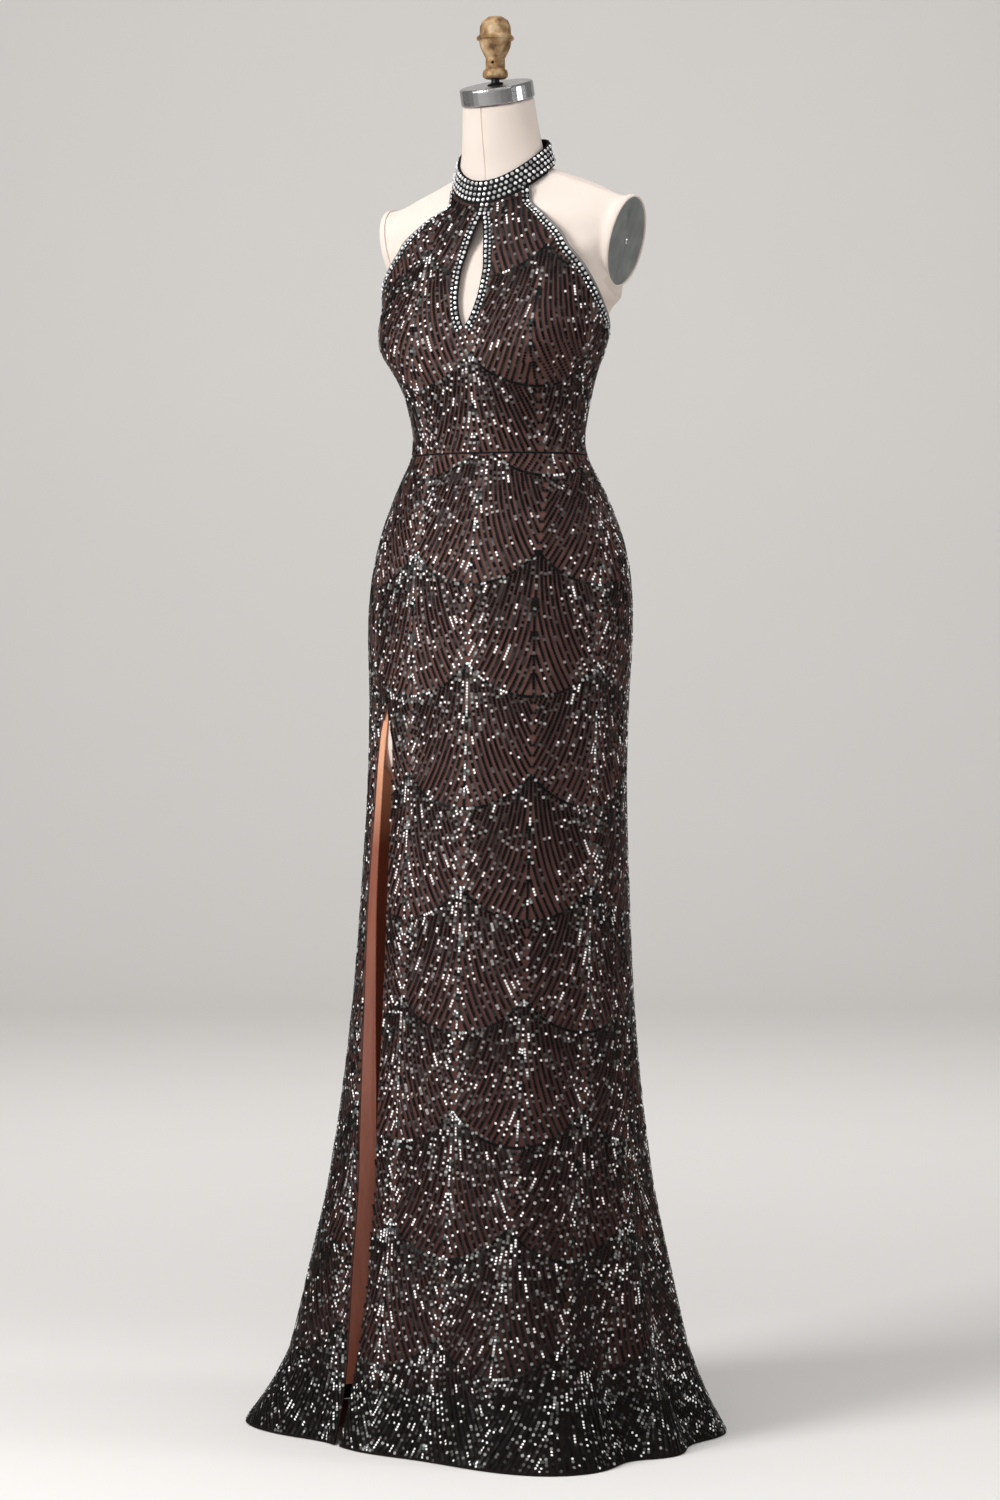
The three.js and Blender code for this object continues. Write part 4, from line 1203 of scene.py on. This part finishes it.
def half_fan():
    """The lines of one half of a scallop, each as points (u, v), with u from 0 to COLUMN."""
    lines = []
    for start in np.arange(-6, 18) * LINE_STEP:
        v = np.linspace(0, SCALLOP_HEIGHT, 400)
        u = start * (1 + 0.0068 * v) + 1.06e-4 * v**2.5
        top = SAGITTA - arc_drop(COLUMN - u)
        bottom = SCALLOP_HEIGHT - arc_drop(u)
        inside = (u > 2.6) & (u < COLUMN - 1.5) & (v > top + 2.5) & (v < bottom - 2.5)
        if inside.sum() > 3:
            lines.append(sampled(u[inside], v[inside], SEQUIN_PITCH))
    u = np.linspace(0, COLUMN, 200)
    lines.append(sampled(u, SCALLOP_HEIGHT - arc_drop(u), SEQUIN_PITCH))
    return [line for line in lines if len(line)]


def spine():
    """The line down the middle of a scallop."""
    v = np.linspace(SAGITTA - arc_drop(COLUMN) + 2.5, SCALLOP_HEIGHT - 2.5, 200)
    return sampled(0 * v, v, SEQUIN_PITCH)


def scallop():
    points = []
    runs = []
    number = 0
    for line in half_fan():
        for mirrored in (1, -1):
            side = line * np.array([mirrored, 1, mirrored, 1])
            points.append(side)
            runs.append(number + np.arange(len(side)) // 3)
            number = number + len(side) // 3 + 1
    points.append(spine())
    runs.append(number + np.arange(len(points[-1])) // 2)
    number = number + len(points[-1]) // 2 + 1
    return np.concatenate(points), np.concatenate(runs), number


SCALLOP_POINTS, SCALLOP_RUNS, SCALLOP_RUN_COUNT = scallop()


def pattern_points(u_range, v_range, column_offset, row_offset):
    """All sequins of a stretch of cloth. A scallop's lowest point is at row_offset, on even columns."""
    points = []
    runs = []
    first = math.floor((u_range[0] - column_offset) / COLUMN) - 1
    last = math.ceil((u_range[1] - column_offset) / COLUMN) + 1
    top = math.floor((v_range[0] - row_offset) / (2 * HALF_ROW)) - 1
    bottom = math.ceil((v_range[1] - row_offset) / (2 * HALF_ROW)) + 2
    number = 0
    for column in range(first, last + 1):
        for row in range(top, bottom + 1):
            lowest = row_offset + 2 * HALF_ROW * row + (HALF_ROW if column % 2 else 0)
            place = np.array([column_offset + column * COLUMN, lowest - SCALLOP_HEIGHT, 0, 0])
            points.append(SCALLOP_POINTS + place)
            runs.append(SCALLOP_RUNS + number)
            number += SCALLOP_RUN_COUNT
    points = np.concatenate(points)
    runs = np.concatenate(runs)
    inside = (points[:, 0] >= u_range[0]) & (points[:, 0] <= u_range[1])
    inside &= (points[:, 1] >= v_range[0]) & (points[:, 1] <= v_range[1])
    return points[inside], runs[inside]


def glints(points, runs, angle, column_offset, seed):
    """0 to 1 for each sequin, which the sequin finish paints as light: dark below 0.5, a painted grey sheen to
    0.75, a painted white highlight above. More are lit near a column's middle; fewer where the body turns from
    the light and at the body's left silhouette, as painted shade."""
    chance = np.random.default_rng(seed)
    from_middle = (points[:, 0] - column_offset + COLUMN / 2) % COLUMN - COLUMN / 2
    share = LIT_SHARE["field"] + LIT_SHARE["column"] * bell(from_middle, LIT_SHARE["spread"])
    turned = LIT_SHARE["turned"] * np.clip((760 - points[:, 1]) / 260, 0.3, 1)
    # Painted shade: fewer highlights where the body turns from the light
    share = share * (1 - turned * bell(turn(angle, LIT_SHARE["at"]), LIT_SHARE["over"]))
    # Painted shade: fewer highlights at the body's left silhouette
    share = share * (1 - LIT_SHARE["edge"] * bell(turn(angle, LIT_SHARE["edge_at"]), LIT_SHARE["edge_over"]))
    of_run = chance.random(int(runs.max()) + 1)[runs]
    own = chance.random(len(points))
    shade = chance.random(len(points))
    lit = (own < share * 0.4) | (of_run < share * 0.62) & (own < 0.7)
    grey = own < 0.1 + share * 1.8
    return np.where(lit, 0.8 + 0.2 * shade, np.where(grey, 0.5 + 0.25 * shade, 0.45 * shade))


def cloth_to_body(points, grain, angle_low, angle_high, z_low, z_high, z_from):
    """Carries cloth points (u, v) to angles and heights. u is measured at each height from the
    grain line's angle, and v down the grain line from z_from."""
    heights = np.arange(z_low - 6, z_high + 6.1, 3.0)
    spine = gown_point(np.full_like(heights, grain), heights)
    steps = np.linalg.norm(np.diff(spine, axis=0), axis=1)
    path = np.concatenate([[0], np.cumsum(steps)])
    v_of_z = np.interp(z_from, heights, path) - path
    z = np.interp(points[:, 1], v_of_z[::-1], heights[::-1])
    angles = np.arange(angle_low, angle_high + 0.1, 0.5)
    row = np.clip(np.round((z - heights[0]) / 3.0).astype(int), 0, len(heights) - 1)
    found = np.full(len(points), np.nan)
    middle = int(np.argmin(np.abs(angles - grain)))
    for j in np.unique(row):
        ring = gown_point(angles, np.full_like(angles, heights[j]))
        reach = np.concatenate([[0], np.cumsum(np.linalg.norm(np.diff(ring, axis=0), axis=1))])
        reach = reach - reach[middle]
        chosen = row == j
        u = points[chosen, 0]
        angle = np.interp(u, reach, angles)
        angle[(u < reach[0]) | (u > reach[-1])] = np.nan
        found[chosen] = angle
    return found, z


SEQUIN_LIFT = 1.3


def sequins(name, stretches, slot="sequin_mesh", seed=1):
    """Lays sequins on stretches of cloth. Each has its range, its grain and a test of what it keeps."""
    places = []
    faces = []
    lines = []
    runs = []
    lit = []
    for stretch in stretches:
        grain = stretch["grain"]
        reach = stretch.get("reach", 620)
        z_low, z_high = stretch["z"]
        depth = (stretch["z_from"] - z_high - 90, stretch["z_from"] - z_low + 60)
        points, run = pattern_points((-reach, reach), depth, stretch["column"], stretch["row"])
        span = stretch["angles"]
        angle, z = cloth_to_body(points, grain, *span, z_low, z_high, stretch["z_from"])
        fits = ~np.isnan(angle)
        angle = np.where(fits, angle, 0)
        fits &= (z > z_low) & (z < z_high) & stretch["keeps"](angle, z)
        angle = angle[fits]
        z = z[fits]
        normal = normal_of(gown_point, angle, z)
        round_body = unit(gown_point(angle + 0.5, z) - gown_point(angle - 0.5, z))
        down = unit(np.cross(round_body, normal))
        places.append(gown_point(angle, z) + normal * SEQUIN_LIFT)
        faces.append(normal)
        lines.append(unit(round_body * points[fits, 2:3] + down * points[fits, 3:4]))
        lit.append(glints(points[fits], run[fits], angle, stretch["column"], seed + len(runs)))
        runs.append(run[fits] + 100000 * len(runs))
    piece = laid_piece(
        name,
        SEQUIN_TREE,
        np.concatenate(places),
        np.concatenate(faces),
        np.concatenate(lines),
        np.concatenate(runs),
        np.concatenate(lit),
        SEQUIN,
        slot,
        Radius=0.0021,
        Tilt=0.34,
        Seed=seed,
    )
    print("sequins", name, len(np.concatenate(places)), "triangles", 4 * len(np.concatenate(places)))
    return piece


def on_front_skirt(angle, z):
    margin = 1.2
    edge = np.degrees(margin / gown_section(z)["side"])
    right = (angle > -90 + edge) & (angle < slit_side(z) - edge)
    left = (angle > slit_main(z) + edge) & (angle < 90 - edge)
    closed = z > SLIT_TOP_Z
    return np.where(closed, (angle > -90 + edge) & (angle < 90 - edge), right | left)


def far_from(path, points, margin):
    nearest = np.full(len(points), 1e9)
    for place in path:
        nearest = np.minimum(nearest, np.linalg.norm(points - place, axis=1))
    return nearest > margin


def away_from_armhole(angle, z, margin):
    path_z = np.linspace(CORNER["z"], 1490, 100)
    path = gown_point(armhole_edge(path_z), path_z)
    return far_from(path, gown_point(np.abs(angle), z), margin)


def away_from_keyhole(angle, z, margin):
    path_z = np.linspace(KEYHOLE[0]["z"], COLLAR_FRONT_Z, 100)
    here = gown_point(angle, z)
    far = np.full(len(here), True)
    for sign in (1, -1):
        far &= far_from(gown_point(keyhole_angle(path_z, sign), path_z), here, margin)
    far |= z < KEYHOLE[0]["z"] - 4
    inside = (angle > keyhole_angle(z, -1)) & (angle < keyhole_angle(z, 1))
    return far & ~inside


def on_front_bodice(angle, z):
    side = np.abs(angle)
    below_band = z < collar_low_z(gown_point(angle, z)[..., 1]) - 1.8
    fits = (side < front_edge(z)) & below_band
    fits[fits] &= away_from_armhole(angle[fits], z[fits], 12.5)
    fits[fits] &= away_from_keyhole(angle[fits], z[fits], 11)
    return fits


def on_side_bodice(angle, z):
    side = np.abs(angle)
    edge = np.degrees(5 / gown_section(z)["side"])
    top = side_top_z(-side)
    fits = (side > SIDE_SEAM + 0.4) & (side < back_edge(z) - edge) & (z < top - 3)
    fits[fits] &= away_from_armhole(angle[fits], z[fits], 9)
    return fits


FRONT = {"grain": 0, "z_from": WAIST_Z, "z": (HEM_Z + 2.5, WAIST_Z - 2.1), "row": 160, "column": 29}
sequins(
    "sequins_skirt_front",
    [{**FRONT, "angles": (-92, 92), "keeps": on_front_skirt}],
    seed=3,
)
BACK = {"grain": 180, "z_from": WAIST_Z, "z": (HEM_Z + 2.5, WAIST_Z - 2.1), "row": 160, "column": 40}
sequins(
    "sequins_skirt_back_left",
    [{**BACK, "angles": (88, 180), "keeps": lambda angle, z: (angle > 90.4) & (angle < 179.6)}],
    seed=4,
)
sequins(
    "sequins_skirt_back_right",
    [{**BACK, "angles": (180, 272), "keeps": lambda angle, z: (angle > 180.4) & (angle < 269.6)}],
    seed=5,
)
TOP = {"grain": 0, "z_from": 1250, "z": (BODICE_LOW_Z + 1.9, 1500), "row": 131.5, "column": 17, "reach": 240}
sequins(
    "sequins_bodice_front",
    [{**TOP, "angles": (-90, 90), "keeps": on_front_bodice}],
    seed=6,
)
SIDE = {"z_from": 1250, "z": (BODICE_LOW_Z + 1.9, 1352), "row": 0, "column": 10, "reach": 90}
sequins(
    "sequins_bodice_sides",
    [
        {**SIDE, "grain": 100, "angles": (80, 120), "keeps": on_side_bodice},
        {**SIDE, "grain": -100, "angles": (-120, -80), "keeps": on_side_bodice},
    ],
    seed=7,
)


# Rhinestones in rows: round the neckband, and along the armholes and the keyhole


def stone_rows(arrays, rows, pitch, lift, top_z):
    """Rows of stones beside an edge up to a height, every second row shifted by half a pitch."""
    places = []
    faces = []
    for number, inset in enumerate(rows):
        path, inward, normal = evenly_spaced(arrays, pitch, pitch * (0.4 + 0.5 * (number % 2)))
        kept = path[:, 2] < top_z - inset * 1.5
        path, inward, normal = path[kept], inward[kept], normal[kept]
        places.append(path + inward * inset + normal * lift)
        faces.append(normal)
    return np.concatenate(places), unit(np.concatenate(faces))


def stones(name, places, faces, radius, seed):
    laid_piece(
        name,
        STONE_TREE,
        places,
        faces,
        np.roll(faces, 1, axis=1),
        np.arange(len(places)),
        np.random.default_rng(seed).random(len(places)),
        RHINESTONE,
        "brushed_metal",
        Radius=radius,
        Rise=radius * 0.6,
        Tilt=0.14,
        Seed=seed,
    )


EDGE_STONE = {"radius": 0.0023, "small": 0.0016, "pitch": 6.4}
for side, sign in (("left", 1), ("right", -1)):
    for edge, path, top_z, large, small in (
        ("armhole", armhole_path(sign), 1520, 4.8, 10.2),
        ("keyhole", keyhole_path(sign, COLLAR_FRONT_Z - 2), 1475, 3.2, 8.6),
    ):
        places, faces = stone_rows(path, (large,), EDGE_STONE["pitch"], 1.0, top_z)
        stones("stones_" + edge + "_" + side, places, faces, EDGE_STONE["radius"], 11 + sign)
        places, faces = stone_rows(path, (small,), EDGE_STONE["pitch"] * 0.8, 1.0, top_z)
        stones("small_stones_" + edge + "_" + side, places, faces, EDGE_STONE["small"], 15 + sign)

BAND_STONE = {"radius": 0.0023, "pitch": 6.8, "rows": 4, "edge": 3.8}
band_places = []
band_faces = []
for number, height in enumerate(
    np.linspace(BAND_STONE["edge"], COLLAR_HEIGHT - BAND_STONE["edge"], BAND_STONE["rows"])
):
    ring = np.linspace(-177, 177, 900)
    path = collar_point(ring, np.full_like(ring, height))
    normal = normal_of(collar_point, ring, np.full_like(ring, height))
    start = BAND_STONE["pitch"] * 0.5 * (number % 2)
    path, normal = evenly_spaced([path, normal], BAND_STONE["pitch"], start)
    band_places.append(path + unit(normal) * 0.6)
    band_faces.append(unit(normal))
stones("stones_neckband", np.concatenate(band_places), np.concatenate(band_faces), BAND_STONE["radius"], 9)

# The dress form's covered torso, with the arm ends grown on smoothly

around = np.arange(144) * 2.5
form_heights = np.concatenate(
    [
        np.linspace(FORM_FOOT_Z, 830, 16, endpoint=False),
        np.linspace(830, 1347, 70, endpoint=False),
        np.linspace(1347, 1479, 30, endpoint=False),
        np.linspace(1479, 1511, 24, endpoint=False),
        np.linspace(1511, NECK_TOP_Z, 20),
    ]
)
torso_rings = [form_point(around, np.full_like(around, z)) for z in form_heights]
for ring in torso_rings:
    outer = np.clip((np.abs(ring[:, 0]) - 72) / 70, 0, 1)
    ring[:, 2] -= 17 * outer * np.clip((ring[:, 2] - 1400) / 60, 0, 1)


def arm_frame(sign):
    """Carries points (out, depth, height) of an arm end to the body."""
    tilt = math.radians(ARM_PLATE["tilt"])
    lean = Matrix.Rotation(tilt, 4, "Y")
    if sign < 0:
        lean = Matrix.Rotation(math.pi, 4, "Z") @ lean
    return Matrix.Translation((sign * ARM_PLATE["x"], ARM_PLATE["y"], ARM_PLATE["z"])) @ lean


def arm_ring(sign, grow, out, count=96):
    place = arm_frame(sign)
    turns = np.arange(count) / count * 2 * math.pi
    ring = [
        place
        @ Vector((out, (ARM_PLATE["depth"] + grow) * math.cos(a), (ARM_PLATE["height"] + grow) * math.sin(a)))
        for a in turns
    ]
    return np.array([tuple(p) for p in ring])


def joined(meshes):
    shape = bmesh.new()
    for mesh in meshes:
        shape.from_mesh(mesh)
    whole = bpy.data.meshes.new("torso_parts")
    shape.to_mesh(whole)
    shape.free()
    return whole


def smoothed_union(name, meshes, pockets, voxel, passes):
    holder = bpy.data.objects.new(name + "_parts", joined(meshes))
    cutter = bpy.data.objects.new(name + "_pockets", joined(pockets))
    bpy.context.collection.objects.link(holder)
    bpy.context.collection.objects.link(cutter)
    remesh = holder.modifiers.new("skin", "REMESH")
    remesh.mode = "VOXEL"
    remesh.voxel_size = voxel * MM
    smooth = holder.modifiers.new("smooth", "SMOOTH")
    smooth.factor = 0.5
    smooth.iterations = passes
    cut = holder.modifiers.new("cut", "BOOLEAN")
    cut.operation = "DIFFERENCE"
    cut.object = cutter
    evaluated = holder.evaluated_get(bpy.context.evaluated_depsgraph_get())
    mesh = bpy.data.meshes.new_from_object(evaluated)
    mesh.name = name
    holder.modifiers.clear()
    bpy.data.objects.remove(holder)
    bpy.data.objects.remove(cutter)
    mesh.polygons.foreach_set("use_smooth", [True] * len(mesh.polygons))
    mesh.set_sharp_from_angle(angle=math.radians(50))
    return mesh


STUB = [(-20, -60), (-11, -40), (-4, -20), (1, -8), (3, 0)]
torso_parts = [loft("torso_core", torso_rings)]
plate_pockets = []
for sign in (1, -1):
    stub = [arm_ring(sign, grow, out) for grow, out in STUB]
    torso_parts.append(loft("arm_stub", stub))
    step = ((0.3, -ARM_PLATE["pocket"]), (0.3, 0.9), (ARM_PLATE["rim"] + 12, 1.0), (ARM_PLATE["rim"] + 12, 40))
    pocket = [arm_ring(sign, grow, out) for grow, out in step]
    plate_pockets.append(loft("plate_pocket", pocket))
torso_mesh = smoothed_union("form_cover", torso_parts, plate_pockets, 3.4, 5)
torso = new_piece("form_cover", torso_mesh, LINEN)
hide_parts("form_torso")
RIM = [(0.4, -6.0), (3.0, -6.0), (3.3, -1.5), (2.9, 0.6), (2.1, 1.4), (1.3, 1.5), (0.7, 1.0), (0.4, 0.0)]
for side, sign in (("left", 1), ("right", -1)):
    rings = np.stack([arm_ring(sign, grow, out) for grow, out in RIM], axis=1)
    rows, count = rings.shape[:2]
    faces = []
    for j in range(rows):
        following = (j + 1) % rows
        for i in range(count):
            k = (i + 1) % count
            faces.append([j * count + i, j * count + k, following * count + k, following * count + i])
    mesh = mesh_from("arm_rim_" + side, rings.reshape(-1, 3), faces)
    outward(mesh)
    new_piece("arm_rim_" + side, mesh, LINEN)

# The seam up the front of the neck

seam_z = np.linspace(1496, NECK_TOP_Z - 1, 60)
seam_angle = np.zeros_like(seam_z)
seam_normal = normal_of(form_point, seam_angle, seam_z)
seam_across = np.tile([1.0, 0.0, 0.0], (len(seam_z), 1))
NECK_SEAM = [(-0.9, -0.5), (-0.5, 0.6), (0.5, 0.6), (0.9, -0.5)]
seam_mesh = swept("form_neck_seam", form_point(seam_angle, seam_z), seam_across, seam_normal, NECK_SEAM)
new_piece("form_neck_seam", seam_mesh, SEAM_THREAD)

# Covered buttons at the nape

for name in ("collar_button_lower", "collar_button_upper"):
    dress(name, DARK_EDGE)

# What each piece of cloth was cut to


def panel_area(parts, surface, heights, top, bottom):
    """Flat area of a panel, from its own outline."""
    total = 0.0
    for columns, low, high in parts:
        angles, z = grid_between(columns, low, high, heights)
        points = surface(angles, z) * MM
        a = points[1:, :-1] - points[:-1, :-1]
        b = points[:-1, 1:] - points[:-1, :-1]
        total += np.linalg.norm(np.cross(a, b), axis=-1).sum()
    return float(total)


FACING_AREA = 0.014


def declare(flat, area):
    share = min(1.0, area / (flat[0] * flat[1]))
    flat[0] * flat[1] * max(share, 0.3)


skirt_areas = {
    name: panel_area(parts, gown_point, skirt_heights, WAIST_Z, HEM_Z)
    for name, parts in SKIRT_PANELS.items()
}
lining_areas = {
    name: panel_area(parts, lining_point, lining_heights, WAIST_Z, LINING_HEM_Z)
    for name, parts in LINING_PANELS.items()
}
declare((0.87, 1.21), skirt_areas["skirt_front"])
declare((0.46, 1.21), skirt_areas["skirt_back_left"])
declare((0.46, 1.21), skirt_areas["skirt_back_right"])
declare((0.58, 1.11), lining_areas["lining_front"] + FACING_AREA)
declare((0.58, 1.12), lining_areas["lining_back"])
declare((0.40, 0.34), 0.095)
declare((0.052, 0.18), 0.0077)
declare((0.052, 0.18), 0.0077)
declare((0.38, 0.028), 0.0103)

# Studio: a pale floor that rises into the backdrop, and soft boxes

BACKDROP = from_srgb(238, 235, 232)
sweep_profile = [(-7.0, 0.0), (5.5, 0.0)]
for step in range(1, 13):
    a = step / 12 * math.pi / 2
    sweep_profile.append((5.5 + 1.8 * math.sin(a), 1.8 - 1.8 * math.cos(a)))
sweep_profile.append((7.3, 7.0))
away = Vector((-math.sin(BEARING), math.cos(BEARING), 0))
aside = Vector((math.cos(BEARING), math.sin(BEARING), 0))
backdrop_points = []
for reach, height in sweep_profile:
    for side in (-8, 8):
        backdrop_points.append(away * reach + aside * side + Vector((0, 0, height)))
backdrop_faces = [
    [2 * k, 2 * k + 1, 2 * k + 3, 2 * k + 2] for k in range(len(sweep_profile) - 1)
]
backdrop_mesh = bpy.data.meshes.new("backdrop")
backdrop_mesh.from_pydata([tuple(p) for p in backdrop_points], [], backdrop_faces)
backdrop_mesh.polygons.foreach_set("use_smooth", [True] * len(backdrop_faces))
paper = Finish("backdrop_paper", Roughness=0.95)
paper.feed("Base Color", paper.mix(paper.noise(3.0, paper.position()), BACKDROP, from_srgb(240, 237, 234)))
backdrop_mesh.materials.append(paper.material)
backdrop = bpy.data.objects.new("backdrop", backdrop_mesh)
bpy.context.collection.objects.link(backdrop)


def soft_box(name, bearing, distance, height, size, power, target=(0, 0, 0.85)):
    light = bpy.data.lights.new(name, "AREA")
    light.shape = "RECTANGLE"
    light.size, light.size_y = size
    light.energy = power
    box = bpy.data.objects.new(name, light)
    bpy.context.collection.objects.link(box)
    box.visible_camera = False
    a = BEARING + math.radians(bearing)
    box.location = (math.sin(a) * distance, -math.cos(a) * distance, height)
    direction = Vector(target) - box.location
    box.rotation_euler = direction.to_track_quat("-Z", "Y").to_euler()


soft_box("key_box", -54, 3.2, 2.4, (1.3, 1.9), 112)
soft_box("side_box", 78, 3.0, 1.9, (0.9, 2.0), 24)
soft_box("front_box", 0, 4.2, 3.1, (1.6, 1.0), 20)
soft_box("top_box", 0, 0.6, 3.4, (2.2, 2.2), 36)
soft_box("wall_box", 180, 2.0, 3.4, (5.0, 2.0), 101, away * 7.3 + Vector((0, 0, 1.6)))
world = bpy.data.worlds.new("studio")
bpy.context.scene.world = world
world.use_nodes = True
world.node_tree.nodes["Background"].inputs["Color"].default_value = (0.80, 0.79, 0.775, 1)
world.node_tree.nodes["Background"].inputs["Strength"].default_value = 0.25
